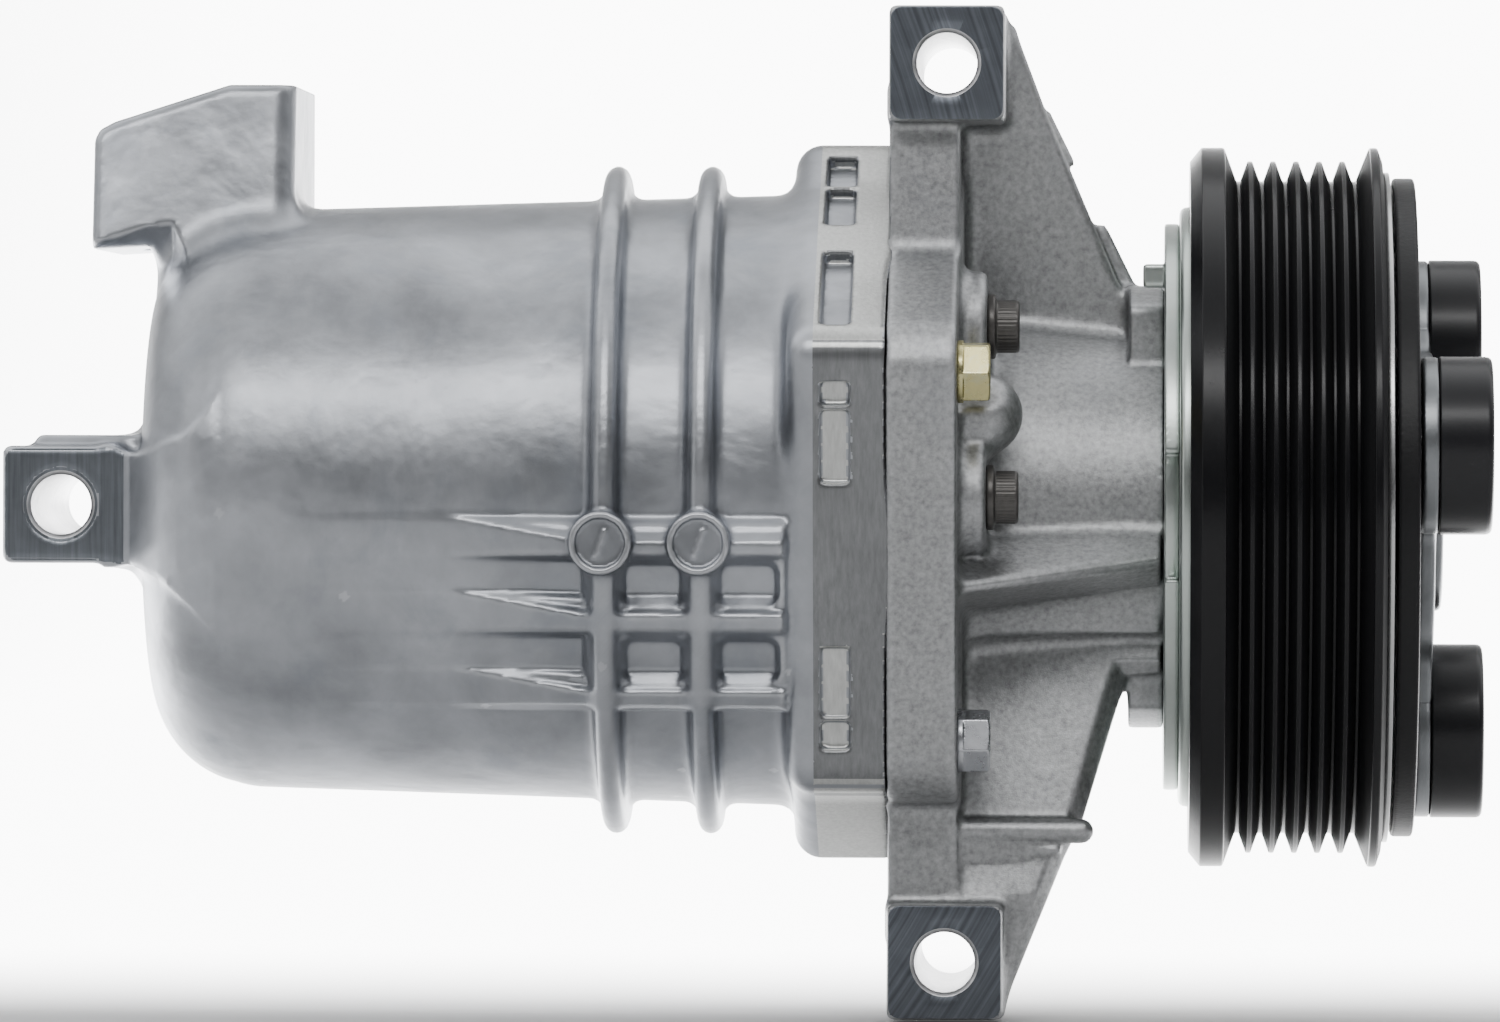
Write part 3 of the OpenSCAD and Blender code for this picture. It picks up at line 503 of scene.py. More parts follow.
def shell_field(lo, hi, step):
    x, y, z = grid(lo, hi, step)
    r = np.sqrt(y * y + z * z)
    # The cast outside sits a little above the shaft's axis
    high_r = np.sqrt(y * y + (z - 0.85) ** 2)
    near = np.clip(-y / 8.0, 0, 1)
    body_r = np.interp(x, [-164, -160, -77, -62], [44.3, 44.7, 47.3, 47.4]).astype(np.float32)
    rise = near * relief(x, z)
    skin = corner(high_r - body_r, -176.4 - x, 16.0)
    d = np.maximum(skin, x + 62.4)
    d = d - rise * np.clip((x + 150) / 6.0, 0, 1)
    # Ring ribs
    for x0 in (-104.8, -90.2):
        rib = corner(np.abs(x - x0) - 2.2 + 0.10 * (high_r - 46), high_r - 51.7, 1.7)
        d = smin(d, np.maximum(rib, 42.6 - r), 2.2)
    # Two round foundry dials without characters
    for x0 in (-105.2, -90.4):
        q = np.sqrt((x - x0) ** 2 + (z + 5.5) ** 2)
        disc = corner(q - 4.75, -52.9 - y, 0.45)
        disc = np.maximum(disc, y + 42)
        d = smin(d, disc, 1.0)
        d = smax(d, -np.maximum(q - 3.75, y + 51.9), 0.25)
        arrow = np.maximum(np.abs(x - x0 - 0.35 * (z + 5.5)) - 0.35, np.abs(z + 5.5) - 2.3)
        depth = np.maximum(-52.3 - y, y + 50)
        d = np.minimum(d, np.maximum(arrow, depth))
    # Bolted flange with its cast pockets
    flat = five_sided(y, z - 0.7 * np.clip(z / 40, 0, 1), 47.6, 55.4)
    fl = corner(flat, -77.4 - x, 4.2)
    fl = np.maximum(fl, x + 62.4)
    foot = poly(y, z, [(-37, -41.9), (-8, -54.3), (9, -54.3), (34, -44), (34, -30), (-37, -30)])
    foot = corner(foot + 0 * x, -77.0 - x, 4.2)
    fl = smin(fl, np.maximum(foot, x + 62.4), 1.0)
    d = smin(d, fl, 3.2)
    # Pockets on each side of the pentagon: both ends along it and the radius of the floor
    usual = ((-24.5, -12.5, 46.6), (-6.0, 6.0, 46.6), (12.5, 24.5, 46.6))
    upper = ((-29.5, -7.6, 46.6), (0.8, 13.6, 46.6), (14.8, 24.6, 46.2))
    front = ((12.9, 24.0, 46.7), (24.7, 28.4, 45.6), (-23.2, -12.4, 46.7), (-28.2, -23.9, 46.0))
    for bolt, spans in zip(BOLT_ANGLES, (upper, usual, usual, (), front)):
        b = math.radians(bolt + 36)
        out = -y * math.cos(b) + z * math.sin(b)
        along = y * math.sin(b) + z * math.cos(b)
        for a0, a1, deep in spans:
            q = corner(np.abs(x + 69.9) - 2.2, np.maximum(a0 - along, along - a1), 0.8)
            d = smax(d, -np.maximum(q, deep - out), 0.4)
    # Rear lug and its neck
    neck = rbox(x, y, z, (-184, -19, -8.4), (-168, 24, 8.2), 3.0)
    d = smin(d, neck, 9.0)
    # A web that flares from the lug to the barrel and stays inside the barrel's rounded end
    near_y = np.interp(x, [-182, -178, -176, -173, -170, -168, -166, -164],
                       [-29.2, -31.4, -33.9, -37.4, -40.4, -41.6, -42.5, -42.7]).astype(np.float32)
    top_z = np.interp(x, [-184, -178, -174, -169, -166, -164],
                      [8.2, 8.0, 7.8, 10.0, 13.0, 16.0]).astype(np.float32)
    low_z = np.interp(x, [-184, -178, -173, -168, -164],
                      [-8.8, -9.2, -11.0, -15.0, -19.0]).astype(np.float32)
    web = smax(near_y - y, np.maximum(z - top_z, low_z - z) * 0.8, 0.5)
    web = np.maximum(np.maximum(web * 0.9, y - 22), np.maximum(-181.6 - x, x + 164.5))
    proud = 0.55 * np.clip((-164.8 - x) / 4, 0, 1) + 1.2 * np.clip(-171 - x, 0, 20)
    d = smin(d, np.maximum(web, skin - proud), 1.3)
    ridge = rbox(x, y, z, (-192.6, -26.0, -4.0), (-176, 30, 10.6), 0.8)
    d = smin(d, ridge, 1.6)
    # The lug is drafted: a little thicker at its ends
    lug = rbox(x, y, z, (-197.4, -30, -8.8), (-179.8, 32, 8.8), 1.1)
    d = smin(d, lug - 0.006 * np.abs(y), 2.2)
    # Discharge port block, whose near face leans back and is undercut along its lower edge
    blk = poly(x, z, [(-185.3, 39.2), (-185.3, 56.2), (-184.5, 57.8), (-182.3, 59.0),
                      (-164.6, 64.8), (-154.4, 64.8), (-154.4, 24), (-171.0, 24), (-173.0, 31),
                      (-175.2, 36.5), (-176.8, 39.7)])
    low_edge = np.interp(x, [-185, -181, -177, -173, -171, -167],
                         [39.4, 40.8, 42.6, 43.2, 39.0, 26.0]).astype(np.float32)
    undercut = 0.78 * (-y - 15.4 + 0.8 * (low_edge - z))
    near_face = np.maximum(-y - 14.4 + 0.235 * (z - 48), undercut)
    blk = smax(blk, 0.8 * (x + 154.4) + 0.6 * near_face + 1.7, 0.8)
    blk = corner(blk, np.maximum(near_face, y - 33.0), 1.5)
    d = smin(d, blk, 4.0)
    slot = rbox(x, y, z, (-179.5, 2.0, 36.0), (-175.4, 14.0, 43.0), 0.8)
    d = smax(d, -slot, 0.4)
    # Relief valve boss on the far side
    q = np.sqrt((x + 146) ** 2 + z ** 2)
    d = smin(d, np.maximum(corner(q - 10.0, y - 48.0, 1.0), -y), 2.5)
    # Holes: the lug's chamfered bore, the port and its bolt, the valve, the flange bolts, the pump
    q = np.sqrt((x - REAR_LUG[0]) ** 2 + (z - REAR_LUG[1]) ** 2)
    d = np.maximum(d, -lug_hole(q, y, -30.0, 32.0))
    q = np.sqrt((x + 164.6) ** 2 + (z - 51.5) ** 2)
    d = np.maximum(d, -np.maximum(q - 7.0, 11.0 - y))
    q = np.sqrt((x + 179.0) ** 2 + (z - 51.5) ** 2)
    d = np.maximum(d, -np.maximum(q - 3.4, 15.0 - y))
    q = np.sqrt((x + 146) ** 2 + z ** 2)
    d = np.maximum(d, -np.maximum(q - 5.1, 30 - y))
    for a in BOLT_ANGLES:
        q = around(y, z, a, BOLT_CIRCLE)
        d = np.maximum(d, -np.maximum(q - 3.1, -74 - x))
    room = np.interp(x, [-170, -163, -157, -126, -125.5],
                     [28, 36.6, 39.5, 39.6, 42.5]).astype(np.float32)
    d = np.maximum(d, -np.maximum(r - room, -170 - x))
    return d


lo, hi = (-199.0, -57.5, -57.0), (-61.0, 57.5, 67.0)
v, f = surface(shell_field(lo, hi, CAST_STEP), lo, CAST_STEP)
n, c = normals_of(v, f)
nx, ny, nz = n.T
cx, cy, cz = c.T
radius = np.hypot(cy, cz)
# How far out each face is across the side of the pentagon it is on
out = np.full(len(f), -1e9)
for a in BOLT_ANGLES:
    b = math.radians(a + 36)
    out = np.maximum(out, -cy * math.cos(b) + cz * math.sin(b))
CAST, BRUSHED, PAINTED_LIGHT, MILLED, BORE = range(5)
idx = np.full(len(f), CAST)
# The flange's machined rim gets a lighter copy of its material where its faces lean upward or
# downward: painted light. The pockets' floors that face the front get it too, as a painted
# reflection
on_flange = (cx > -73.25) & (np.abs(nx) < 0.5)
rim = on_flange & (radius > 47.0) & (out >= 47.0)
idx[rim] = BRUSHED
idx[rim & (np.abs(nz) > 0.5) & (ny < -0.2)] = PAINTED_LIGHT
pocket = on_flange & (out < 47.0) & (out > 45.0) & (radius > 45.2)
idx[pocket & (np.abs(nx) < 0.25) & (ny < -0.7)] = PAINTED_LIGHT
# The joint face, the lug's end faces and bore, and the port's face
idx[(cx > -63) & (nx > 0.9)] = BRUSHED
idx[(cx < -179) & (np.abs(ny) > 0.9) & ((cy < -29.5) | (cy > 31.5))] = MILLED
idx[(np.hypot(cx - REAR_LUG[0], cz) < 5.2) & (np.abs(cy) < 33)] = BORE
idx[(cy > 32.5) & (ny > 0.9) & (cz > 38)] = BRUSHED
piece("rear_shell_cast", v, f,
      ["cast_shell", "brushed_flange", "brushed_painted_light", "milled_rear", "bore_cut"],
      "casing", ["rear_shell"], idx)

# ---------------------------------------------------------------- front head


def head_field(lo, hi, step):
    x, y, z = grid(lo, hi, step)
    r = np.sqrt(y * y + z * z)
    # Five-sided plate, the two arms and their lugs
    thick = np.abs(x - (HEAD_JOINT + HEAD_FACE) / 2) - (HEAD_FACE - HEAD_JOINT) / 2
    plate = corner(five_sided(y, z, 48.4, 56.3), thick, 0.9)
    arm_w = np.interp(z, [-60, -40, 41, 59], [27, 28, 28, 27]).astype(np.float32)
    arm = np.maximum(np.abs(y + 1) - arm_w, np.maximum(-66 - z, z - 64))
    d = smin(plate, corner(arm, thick, 0.8), 2.0)
    for _, zc in (UPPER_LUG, LOWER_LUG):
        lug = rbox(x, y, z, (HEAD_JOINT, -33, zc - 8.8), (-44.7, 32, zc + 8.8), 1.1)
        d = smin(d, lug, 1.6)
    # Nose and its flange
    nose_r = np.interp(x, [HEAD_FACE, -26], [28.8, 26.4]).astype(np.float32)
    nose = np.maximum(r - nose_r, x + 20.4)
    d = smin(d, nose, 3.4)
    lip = corner(smax(r - 34.2, np.abs(y) - 15.0, 1.0), np.abs(x + 23.0) - 2.7, 0.5)
    d = smin(d, lip, 0.9)
    # Upper web and the narrow rim along its edge
    outline = poly(x, z, [(-53, 20), (-53, 76), (-43.4, 73.6), (-38.4, 60.4), (-25.9, 31),
                          (-25.9, 20)])
    half = np.interp(z, [30, 74], [4.2, 10.0]).astype(np.float32)
    d = smin(d, corner(outline, np.abs(y + 0.5) - half, 1.2), 2.6)
    rim = poly(x, z, [(-41.0, 62.0), (-38.0, 61.0), (-24.6, 34), (-25.4, 29), (-30, 36)])
    d = smin(d, corner(rim, np.abs(y - 3.0) - 2.4, 0.6), 0.8)
    # Lower web: its near face leans outwards, and its edge is a broad chamfer
    outline = poly(x, z, [(-53, -18), (-53, -77), (-45, -77.4), (-35.3, -53.4), (-32.6, -47.9),
                          (-25.9, -25.8), (-20.6, -25.4), (-20.6, -18)])
    lean = -y - np.minimum(17.2 + 0.26 * np.clip(-18 - z, 0, 60), 27.9)
    edge = poly(x, z, [(-60, 0), (-60, -90), (-52.0, -90), (-37.6, -53.4), (-34.9, -47.4),
                       (-28.4, -25.0), (-27.6, -23.6), (-10, -23.6), (-10, 0)])
    web = smax(np.maximum(lean, y - 6), outline, 0.5)
    web = smax(web, 0.75 * edge + 0.62 * lean, 0.4)
    d = smin(d, web, 1.8)
    # The rod rib across it and the rib's flat tail
    rod = np.sqrt((y + 25.6) ** 2 + (z + 49.4) ** 2 + np.maximum(x + 32.8, 0) ** 2) - 1.9
    d = smin(d, np.maximum(rod, -54 - x), 0.9)
    tail = np.maximum(np.abs(z + 52.3) - 1.5 + 0.06 * (x + 52), np.maximum(-26.9 - y, y))
    d = smin(d, np.maximum(tail, np.maximum(-54 - x, x + 36)), 0.8)
    # Gusset on the near side, with a top that slopes down to its edge
    u = np.clip((x + 51.7) / 31.5, 0, 1)
    gy = -45.0 + 14.0 * u
    gz = -11.6 + 4.4 * u
    w = np.clip((-25.0 - y) / (-25.0 - gy), 0, 1)
    top = -2.4 + (gz + 2.4) * w
    under = gz - 1.4 - 3.0 * (1 - w)
    gusset = smax(np.maximum(z - top, under - z) * 0.85, np.maximum(gy - y, y + 8), 1.0)
    gusset = np.maximum(gusset * 0.9, np.maximum(-54 - x, x + 20.8))
    d = smin(d, gusset, 1.6)
    # Skirt under the gusset
    skirt = np.maximum(np.maximum(z + 4, -19.2 - z), np.maximum(-24.4 + 0.25 * (-z - 6) - y, y + 3))
    skirt = smax(skirt, np.maximum(-54 - x, x + 20.8), 0.8)
    d = smin(d, skirt, 2.0)
    # Bosses of the pump bolts and the round boss between them
    for a in PUMP_ANGLES:
        q = around(y, z, a, PUMP_CIRCLE)
        d = smin(d, np.maximum(corner(q - 8.4, x + 47.3, 1.2), -54 - x), 2.2)
    q = around(y, z, 22.5, 36.8)
    ball = np.sqrt(q * q + np.maximum(x + 48, 0) ** 2) - 6.2
    d = smin(d, np.maximum(ball, -54 - x), 3.0)
    # Suction block on the far side
    a = math.radians(205.8)
    o = -y * math.cos(a) + z * math.sin(a)
    s = y * math.sin(a) + z * math.cos(a)
    d = smin(d, rbox(x, o, s, (-53, 20, -10), (-31, 50, 10), 1.2), 1.6)
    d = smin(d, rbox(x, o, s, (-53, 40, -22), (-34, 50, -8), 1.2), 1.2)
    # Room for the bolt heads
    for b in BOLT_ANGLES:
        q = around(y, z, b, BOLT_CIRCLE)
        d = smax(d, -np.maximum(q - 6.6, HEAD_FACE - 0.02 - x), 0.4)
        d = np.maximum(d, 3.3 - q)
    for b in PUMP_ANGLES:
        q = around(y, z, b, PUMP_CIRCLE)
        d = smax(d, -np.maximum(np.maximum(q - 5.6, -47.32 - x), x + 39), 0.4)
        d = np.maximum(d, -np.maximum(q - 2.75, x + 47))
    # Shaft passage, the tube that carries coil and bearing, the suction chamber, ports
    d = np.maximum(d, -np.minimum(r - 9.5, np.maximum(r - 12.5, -16 - x)))
    tube = np.maximum(r - 20.0, x + 8)
    d = np.minimum(d, np.maximum(tube, 12.5 - r + np.where(x < -26, 99, 0)))
    d = np.minimum(d, np.maximum(np.maximum(r - 17.5, x - 14.0), np.maximum(12.5 - r, -10 - x)))
    d = np.maximum(d, -np.maximum(np.maximum(r - 22.5, 12.5 - r), x + 33))
    q = np.sqrt((x + 41.5) ** 2 + s ** 2)
    d = np.maximum(d, -np.maximum(q - 7.5, 15 - o))
    q = np.sqrt((x + 41.5) ** 2 + (s + 16.5) ** 2)
    d = np.maximum(d, -np.maximum(q - 2.5, 41 - o))
    for xc, zc in (UPPER_LUG, LOWER_LUG):
        q = np.sqrt((x - xc) ** 2 + (z - zc) ** 2)
        d = np.maximum(d, -lug_hole(q, y, -33, 32))
    # Grooves of the coil's and the bearing's clips
    d = np.maximum(d, -np.maximum(np.maximum(r - 22, 19 - r), np.abs(x + 17.25) - 0.65))
    d = np.maximum(d, -np.maximum(np.maximum(r - 19, 16.5 - r), np.abs(x - 12.75) - 0.65))
    return d


lo, hi = (-64.0, -58.5, -79.5), (15.5, 58.5, 78.0)
v, f = surface(head_field(lo, hi, CAST_STEP), lo, CAST_STEP)
n, c = normals_of(v, f)
nx, ny, nz = n.T
cx, cy, cz = c.T
CAST, FLYCUT, BORE, BRUSHED = range(4)
idx = np.full(len(f), CAST)
idx[(np.abs(ny) > 0.9) & ((cy < -32.4) | (cy > 31.4)) & (np.abs(cz) > 57)] = FLYCUT
for xc, zc in (UPPER_LUG, LOWER_LUG):
    idx[np.hypot(cx - xc, cz - zc) < 5.35] = BORE
idx[(np.abs(nx) > 0.9) & (cx < -61.8)] = BRUSHED
idx[(nx > 0.9) & (cx > -20.8)] = BRUSHED
piece("front_head_cast", v, f, ["cast_head", "flycut", "bore_cut", "brushed_flange"],
      "casing", ["front_head"], idx)

# ---------------------------------------------------------------- machined faces of the lugs


def lug_skin(name, place, y0, y1, look, node):
    """Flat machined pads at both ends of a lug, with the chamfered bore between them."""
    xc, zc = place
    n = 160
    a = np.radians(np.arange(n) * 360.0 / n + 0.5)
    half, corner_r = 8.55, 1.7
    flat = half - corner_r
    outer = []
    for u, w in zip(np.cos(a), np.sin(a)):
        k = half / max(abs(u), abs(w))
        px, pz = u * k, w * k
        if abs(px) > flat and abs(pz) > flat:
            # In a corner: halve in on the scale that brings the point onto the corner's arc
            lo_k, hi_k = 0.5, 1.0
            for _ in range(18):
                mid = (lo_k + hi_k) / 2
                past = [max(abs(p) * mid - flat, 0) for p in (px, pz)]
                inside = past[0] ** 2 + past[1] ** 2 < corner_r ** 2
                lo_k, hi_k = (mid, hi_k) if inside else (lo_k, mid)
            px, pz = px * lo_k, pz * lo_k
        outer.append((px, pz))
    outer = np.array(outer)
    circle = np.stack([np.cos(a), np.sin(a)], 1)
    # Half of the rings of points, from the pad's outer edge over the chamfer into the bore
    rows = [(outer, y0 + 0.6), (outer, y0 + 0.05), (outer * 0.985, y0 - 0.03),
            (outer * 0.5 + circle * 2.62, y0 - 0.03), (circle * 5.22, y0 - 0.03),
            (circle * 5.14, y0 + 0.02), (circle * (LUG_BORE_R + 0.06), y0 + 0.52),
            (circle * LUG_BORE_R, y0 + 0.62)]
    rows += [(circle * LUG_BORE_R, y0 + (y1 - y0) * k / 4) for k in (1, 2, 3)]
    rows += [(p, y0 + y1 - y) for p, y in rows[7::-1]]
    verts = np.vstack([np.stack([xc + p[:, 0], np.full(n, y), zc + p[:, 1]], 1) for p, y in rows])
    faces, index = [], []
    for k in range(len(rows) - 1):
        for i in range(n):
            j = (i + 1) % n
            faces.append((k * n + i, k * n + j, (k + 1) * n + j, (k + 1) * n + i))
            index.append(0 if k < 4 or k > 13 else 1)
    faces = np.array(faces)
    v = verts[faces[3 * n]]
    if np.cross(v[1] - v[0], v[2] - v[0])[1] > 0:
        faces = faces[:, ::-1]
    piece(name, verts, faces, [look, "bore_cut"], "casing", [node], index, normals=True)


lug_skin("upper_lug_machined", UPPER_LUG, -33, 32, "flycut", "front_head")
lug_skin("lower_lug_machined", LOWER_LUG, -33, 32, "flycut", "front_head")
lug_skin("rear_lug_machined", REAR_LUG, -30, 32, "milled_rear", "rear_shell")

# ---------------------------------------------------------------- pulley and coil
GROOVE_PITCH = 3.56
CREST_R, ROOT_R, ROOT_HALF = 53.5, 50.4, 0.3
GROOVE_HALF = ROOT_HALF + (CREST_R - ROOT_R) * math.tan(math.radians(20))
track = []
for k in range(6):
    x = (k - 2.5) * GROOVE_PITCH
    track += [(x - GROOVE_HALF, CREST_R), (x - ROOT_HALF, ROOT_R), (x + ROOT_HALF, ROOT_R),
              (x + GROOVE_HALF, CREST_R)]
# The outer flanks run on to the flanges, so the first and the last crest point are left out
track = track[1:-1]
rim = [(-16.4, 46.9), (-16.4, 53.4), (-14.6, 55.6), (-11.1, 55.6)] + track
rim += [(11.3, 55.6), (12.5, 55.6), (13.2, 53.6), (13.2, 51.9), (11.9, 51.9), (11.9, 48.2),
        (7.5, 48.2), (7.5, 46.9)]
rim_radii = [0.3, 0.4, 0.5, 0.5] + [0.3] * len(track) + [0.5, 0.5, 0.3, 0.1, 0, 0, 0, 0.4]
hub = [(8.5, 31.1), (-8, 31.1), (-8, 27.5), (11.4, 27.5), (11.4, 31.0), (14.3, 31.0), (14.3, 51.8),
       (12.1, 51.8), (12.1, 48.1), (8.5, 48.1)]
hub_radii = [0, 0.4, 0.4, 0.4, 0.3, 0.25, 0.2, 0, 0, 0]
parts = [(v, oriented(v, f)) for v, f in (lathe(rounded(rim, rim_radii), 320),
                                           lathe(rounded(hub, hub_radii), 320))]
v, f = joined(parts)
cx, cy, cz = v[f].mean(1).T
radius = np.hypot(cy, cz)
on_rim = np.arange(len(f)) < len(parts[0][1])
GLOSSY, STEEL, DULL = range(3)
idx = np.full(len(f), GLOSSY)
idx[~on_rim & (cx > 12.9)] = STEEL
idx[on_rim & (np.abs(cx) < 10.6) & (radius > 50.8) & (radius < 53.45)] = DULL
idx[on_rim & (cx > 12.4)] = DULL
piece("pulley_turned", v, f, ["black_pulley", "bare_steel", "black_groove"], "pulley_set",
      ["pulley"], idx, normals=True)


def coil_plate_field(lo, hi, step):
    x, y, z = grid(lo, hi, step)
    r = np.sqrt(y * y + z * z)
    d = corner(r - 43.8, np.abs(x + 19.15) - 1.15, 0.35)
    d = smax(d, 20.1 - r, 0.2)
    # The notch for the lead, and a locating tab
    notch = np.maximum(np.maximum(y + 20, 37.5 - r), np.maximum(z - 8.2, -10.8 - z))
    d = smax(d, -notch, 0.6)
    tab = rbox(x, y, z, (-23.6, -22.5, 33.6), (-19.0, -17.5, 37.2), 0.5)
    return np.minimum(d, tab)


lo, hi = (-24.6, -45, -45), (-17.0, 45, 45)
v, f = surface(coil_plate_field(lo, hi, PLATE_STEP), lo, PLATE_STEP)
piece("coil_plate_pressed", v, f, ["zinc_yellow"], "casing", ["coil_plate"])
outline = [(-18, 31.6), (-18, 46.4), (4, 46.4), (4, 43.4), (-15, 43.4), (-15, 34), (4, 34),
           (4, 31.6)]
v, f = lathe(rounded(outline, [0.8, 1.4, 0.3, 0.3, 0.4, 0.4, 0.3, 0.3]), 200)
piece("coil_cup_pressed", v, oriented(v, f), ["zinc_yellow"], "casing", ["coil_cup"],
      normals=True)

# ---------------------------------------------------------------- armature, hub, cups


def armature_field(lo, hi, step):
    x, y, z = grid(lo, hi, step)
    r = np.sqrt(y * y + z * z)
    d = corner(r - 50.9, np.abs(x - ARMATURE_X - 1.7) - 1.7, 0.45)
    d = smax(d, 20 - r, 0.3)
    a = np.degrees(np.arctan2(z, -y))
    slot_r = 39.2
    for k in CUP_ANGLES:
        # A pin's hole at each cup, and a curved slot halfway to the next
        d = np.maximum(d, 3.5 - around(y, z, k, CUP_CIRCLE))
        off = (a - (k + 60) + 180) % 360 - 180
        past = np.radians(off - np.clip(off, -23, 23)) * slot_r
        slot = np.sqrt(past ** 2 + (r - slot_r) ** 2) - 1.2
        d = smax(d, -slot, 0.3)
    return d


lo, hi = (ARMATURE_X - 1, -52, -52), (ARMATURE_X + 4.4, 52, 52)
v, f = surface(armature_field(lo, hi, PLATE_STEP), lo, PLATE_STEP)
piece("armature_plate_pressed", v, f, ["black_armature"], "armature_set", ["armature_plate"])


def hub_plate_field(lo, hi, step):
    x, y, z = grid(lo, hi, step)
    r = np.sqrt(y * y + z * z)
    # Drawn flat: a disc with an arm and a round end to each cup
    flat = r - 24
    for k in CUP_ANGLES:
        a = math.radians(k)
        out = -y * math.cos(a) + z * math.sin(a)
        side = y * math.sin(a) + z * math.cos(a)
        end = np.sqrt((out - CUP_CIRCLE) ** 2 + side ** 2) - 13.4
        arm = np.maximum(np.abs(side) - 11, np.maximum(-out, out - 36))
        flat = smin(flat, np.minimum(end, arm), 4.0)
    d = corner(flat, np.abs(x - 19.85) - 1.35, 0.5)
    d = smax(d, 16.0 - r, 0.2)
    for k in CUP_ANGLES:
        d = np.maximum(d, 5 - around(y, z, k, CUP_CIRCLE))
    return d


lo, hi = (17.8, -51.5, -51.5), (21.9, 51.5, 51.5)
v, f = surface(hub_plate_field(lo, hi, PLATE_STEP), lo, PLATE_STEP)
piece("hub_plate_pressed", v, f, ["hub_steel"], "shaft_set", ["hub_plate"])
outline = [(4, 7.02), (4, 11), (18.5, 11), (18.5, 16), (22.6, 16), (22.6, 8.6), (18.4, 8.6),
           (18.4, 7.02)]
v, f = lathe(rounded(outline, [0.2, 0.5, 0.1, 0.1, 1.0, 0.4, 0.2, 0.2]), 128)
piece("hub_turned", v, oriented(v, f), ["hub_steel"], "shaft_set", ["hub"],
      normals=True)
outline = [(27.8, 0.02), (27.8, 12.0), (21.2, 12.0), (21.2, 13.5), (29.3, 13.5), (29.3, 9.2),
           (28.9, 8.6), (28.9, 0.02)]
v, f = lathe(rounded(outline, [0, 0.6, 0.2, 0.3, 1.1, 0.3, 0.3, 0]), 160)
f = oriented(v, f)
for i, k in enumerate(CUP_ANGLES):
    piece("damper_cup_drawn_%d" % (i + 1), turn_about_shaft(v, k, CUP_CIRCLE), f, ["black_cup"],
          "shaft_set", ["damper_cup_%d" % (i + 1)], normals=True)

# ---------------------------------------------------------------- bolts


def hexagon(u, w, across):
    """A hexagon by its width across flats."""
    d = np.abs(u)
    for a in (60, 120):
        d = np.maximum(d, np.abs(u * math.cos(math.radians(a)) + w * math.sin(math.radians(a))))
    return d - across / 2


def head_bolt_field(lo, hi, step):
    """A hexagon head with a washer and a dished top."""
    x, y, z = grid(lo, hi, step)
    r = np.sqrt(y * y + z * z)
    d = smax(hexagon(y, z, 8.4) + 0 * x, np.maximum(-x, x - 5.0), 0.25)
    d = smax(d, (r + (x - 5.0) * 1.7 - 4.25) * 0.55, 0.15)
    d = np.maximum(d, -np.maximum(r - 2.7, 4.3 - x))
    w = corner(r - 4.75, np.abs(x - 0.5) - 0.5, 0.2)
    return np.minimum(d, w)


def pump_bolt_field(lo, hi, step):
    """A knurled socket head on a washer."""
    x, y, z = grid(lo, hi, step)
    r = np.sqrt(y * y + z * z)
    d = corner(r - 4.0, np.abs(x - 2.45) - 2.45, 0.45)
    d = smin(d, corner(r - 4.95, np.abs(x - 0.65) - 0.65, 0.35), 0.3)
    knurl = 0.05 * np.cos(np.arctan2(z, y) * 40)
    d = d + np.where((x > 1.5) & (x < 4.4), knurl, 0)
    return np.maximum(d, -np.maximum(hexagon(y, z, 4.0) + 0 * x, 2.0 - x))


def bolts(name, node, field, seat, tail, shank, circle, angles, mats, looks):
    """A ring of bolts from seat to tail. looks picks each one's material."""
    lo, hi = (-0.6, -6, -6), (5.6, 6, 6)
    hv, hf = surface(field(lo, hi, BOLT_STEP), lo, BOLT_STEP)
    hv[:, 0] += seat
    outline = [(tail, 0.02), (tail, shank), (seat, shank), (seat, 0.02)]
    sv, sf = lathe(rounded(outline, [0, 0.4, 0, 0]), 32)
    parts, index = [], []
    for a, look in zip(angles, looks):
        parts.append((turn_about_shaft(hv, a, circle), hf))
        parts.append((turn_about_shaft(sv, a, circle), oriented(sv, sf)))
        index += [look] * (len(hf) + len(sf))
    v, f = joined(parts)
    piece(name, v, f, mats, "casing", [node], index)


# The last head bolt is a silver one
bolts("head_bolts_hex", "head_bolts", head_bolt_field, HEAD_FACE, -73, 3.0,
      BOLT_CIRCLE, BOLT_ANGLES, ["zinc_bolt", "zinc_silver"], [0, 0, 0, 0, 1])
bolts("pump_bolts_socket", "pump_bolts", pump_bolt_field, -47.3, -122, 2.5,
      PUMP_CIRCLE, PUMP_ANGLES, ["black_bolt"], [0, 0, 0, 0])

# ---------------------------------------------------------------- the other CAD nodes
LOOK = {
    "rubber": ["shell_oring", "rear_block_oring", "shaft_seal", "bearing_seals", "lead_grommet",
               "damper_rubber_1", "damper_rubber_2", "damper_rubber_3"],
    "pump_alloy": ["front_side_block", "cylinder_block", "rear_side_block", "separator_case",
                   "rotor", "vane_1", "vane_2", "vane_3", "vane_4", "vane_5"],
    "bearing_steel": ["shaft", "front_bearing_shell", "rear_bearing_shell",
                      "front_bearing_needles", "rear_bearing_needles", "bearing_inner_race",
                      "bearing_outer_race", "bearing_balls", "block_dowels", "armature_pins",
                      "clutch_shim"],
    "zinc_silver": ["discharge_reeds", "reed_stops", "reed_screws", "separator_screen"],
    "black_bolt": ["coil_clip", "bearing_clip", "seal_clip", "hub_bolt"],
    "brass": ["relief_valve"],
    "winding": ["coil_winding"],
    "cage_plastic": ["bearing_cage"],
}
for look, names in LOOK.items():
    for name in names:
        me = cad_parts[name].data
        me.materials.clear()
        me.materials.append(MATS[look])

# ---------------------------------------------------------------- stage, lights, camera

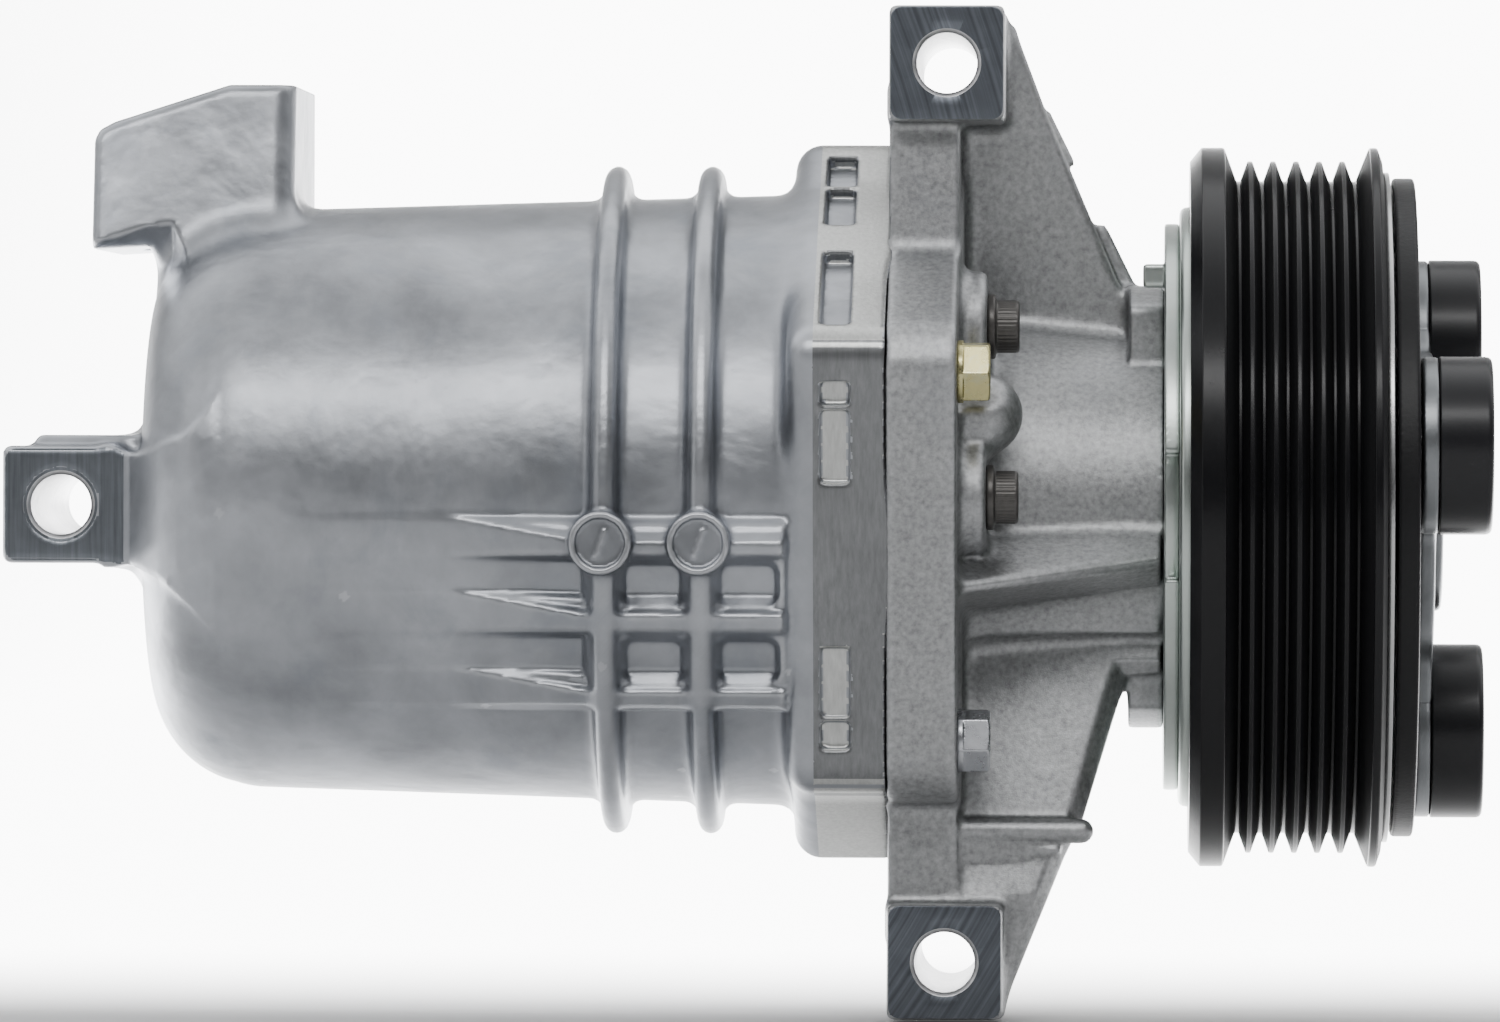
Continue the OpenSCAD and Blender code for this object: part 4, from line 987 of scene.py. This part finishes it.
# In metres: a floor that curves up behind the object, and slopes up far out to both sides
path = [(-4.0, FLOOR_Z)]
for a in range(0, 91, 6):
    path.append((2.4 + math.sin(math.radians(a)), FLOOR_Z + 1.0 - math.cos(math.radians(a))))
path.append((3.4, 4.5))
verts = [(sx, yy, zz) for yy, zz in path for sx in (-4.0, 4.0)]
faces = [(2 * i, 2 * i + 1, 2 * i + 3, 2 * i + 2) for i in range(len(path) - 1)]
for side in (-1, 1):
    k = len(verts)
    slope = ((4.0, FLOOR_Z), (6.0, FLOOR_Z), (10.0, 0.36))
    verts += [(side * xx, yy, zz) for xx, zz in slope for yy in (-6.0, 6.0)]
    faces += [(k, k + 2, k + 3, k + 1), (k + 2, k + 4, k + 5, k + 3)]
me = bpy.data.meshes.new("backdrop")
me.from_pydata(verts, [], faces)
me.polygons.foreach_set("use_smooth", [True] * len(me.polygons))
m = bpy.data.materials.new("pale_floor")
m.use_nodes = True
me.materials.append(m)
# The floor glows behind the object, which stands in for a lit background
t = Tree(m.node_tree)
out = t.n("ShaderNodeOutputMaterial")
p = t.n("ShaderNodeBsdfPrincipled", {"Base Color": rgb((0.60, 0.60, 0.60)), "Roughness": 0.9})
t.link(p.outputs[0], out.inputs[0])
sep = t.n("ShaderNodeSeparateXYZ", {0: t.n("ShaderNodeTexCoord").outputs["Object"]})
away = t.ease(sep.outputs[1], -0.035, 0.24, 0.0, 10.0)
tall = t.fit(sep.outputs[2], 0.40, 0.90, 1.0, 0.0)
wide = t.fit(t.math("ABSOLUTE", t.math("ADD", sep.outputs[0], 0.085)), 0.32, 0.85, 1.0, 0.15)
t.link(t.math("MULTIPLY", t.math("MULTIPLY", away, tall), wide), p.inputs["Emission Strength"])
p.inputs["Emission Color"].default_value = (1, 1, 1, 1)
floor = bpy.data.objects.new("backdrop", me)
bpy.context.scene.collection.objects.link(floor)

world = bpy.data.worlds.new("studio")
bpy.context.scene.world = world
world.use_nodes = True
t = Tree(world.node_tree)
out = t.n("ShaderNodeOutputWorld")
bg = t.n("ShaderNodeBackground")
t.link(bg.outputs[0], out.inputs[0])
# A soft sky, dark low in front and bright behind
sep = t.n("ShaderNodeSeparateXYZ", {0: t.n("ShaderNodeTexCoord").outputs["Generated"]})
high = t.ease(sep.outputs[2], 0.12, 0.66, 0.0, 1.0)
back = t.ease(sep.outputs[1], -0.35, 0.35, 0.0, 1.0)
front = t.math("ADD", 0.005, t.math("MULTIPLY", high, 0.72))
rear = t.math("ADD", 0.45, t.math("MULTIPLY", high, 1.5))
front = t.math("MULTIPLY", front, t.math("SUBTRACT", 1.0, back))
t.link(t.math("ADD", front, t.math("MULTIPLY", rear, back)), bg.inputs["Strength"])
bg.inputs["Color"].default_value = (0.98, 0.99, 1.0, 1.0)


def softbox(name, place, aim, size, power):
    light = bpy.data.lights.new(name, "AREA")
    light.shape = "RECTANGLE"
    light.size, light.size_y = size
    light.energy = power
    o = bpy.data.objects.new(name, light)
    bpy.context.scene.collection.objects.link(o)
    o.location = place
    o.rotation_euler = (Vector(aim) - Vector(place)).to_track_quat("-Z", "Y").to_euler()


softbox("softbox_top", (-0.15, -0.90, 0.80), (-0.1, 0, 0), (1.3, 0.18), 6.2)
softbox("softbox_left", (-1.2, -0.5, 0.45), (-0.1, 0, 0), (0.4, 0.8), 1.0)

cam = bpy.data.cameras.new("camera")
cam.sensor_width = 36.0
cam.lens = 264.1
cam.clip_start = 0.05
cam.clip_end = 20.0
# A long lens 1.7 m away, turned a little so that the pulley is seen from its rear side
o = bpy.data.objects.new("camera", cam)
bpy.context.scene.collection.objects.link(o)
yaw, pitch, roll = math.radians(1.95), math.radians(-0.27), math.radians(0.16)
ahead = Vector((-math.sin(yaw) * math.cos(pitch), math.cos(yaw) * math.cos(pitch), math.sin(pitch)))
turn = ahead.to_track_quat("-Z", "Y").to_matrix().to_4x4() @ Matrix.Rotation(roll, 4, "Z")
o.matrix_world = Matrix.Translation((-0.0263, -1.705, 0.0072)) @ turn
bpy.context.scene.camera = o

bpy.context.view_layer.update()
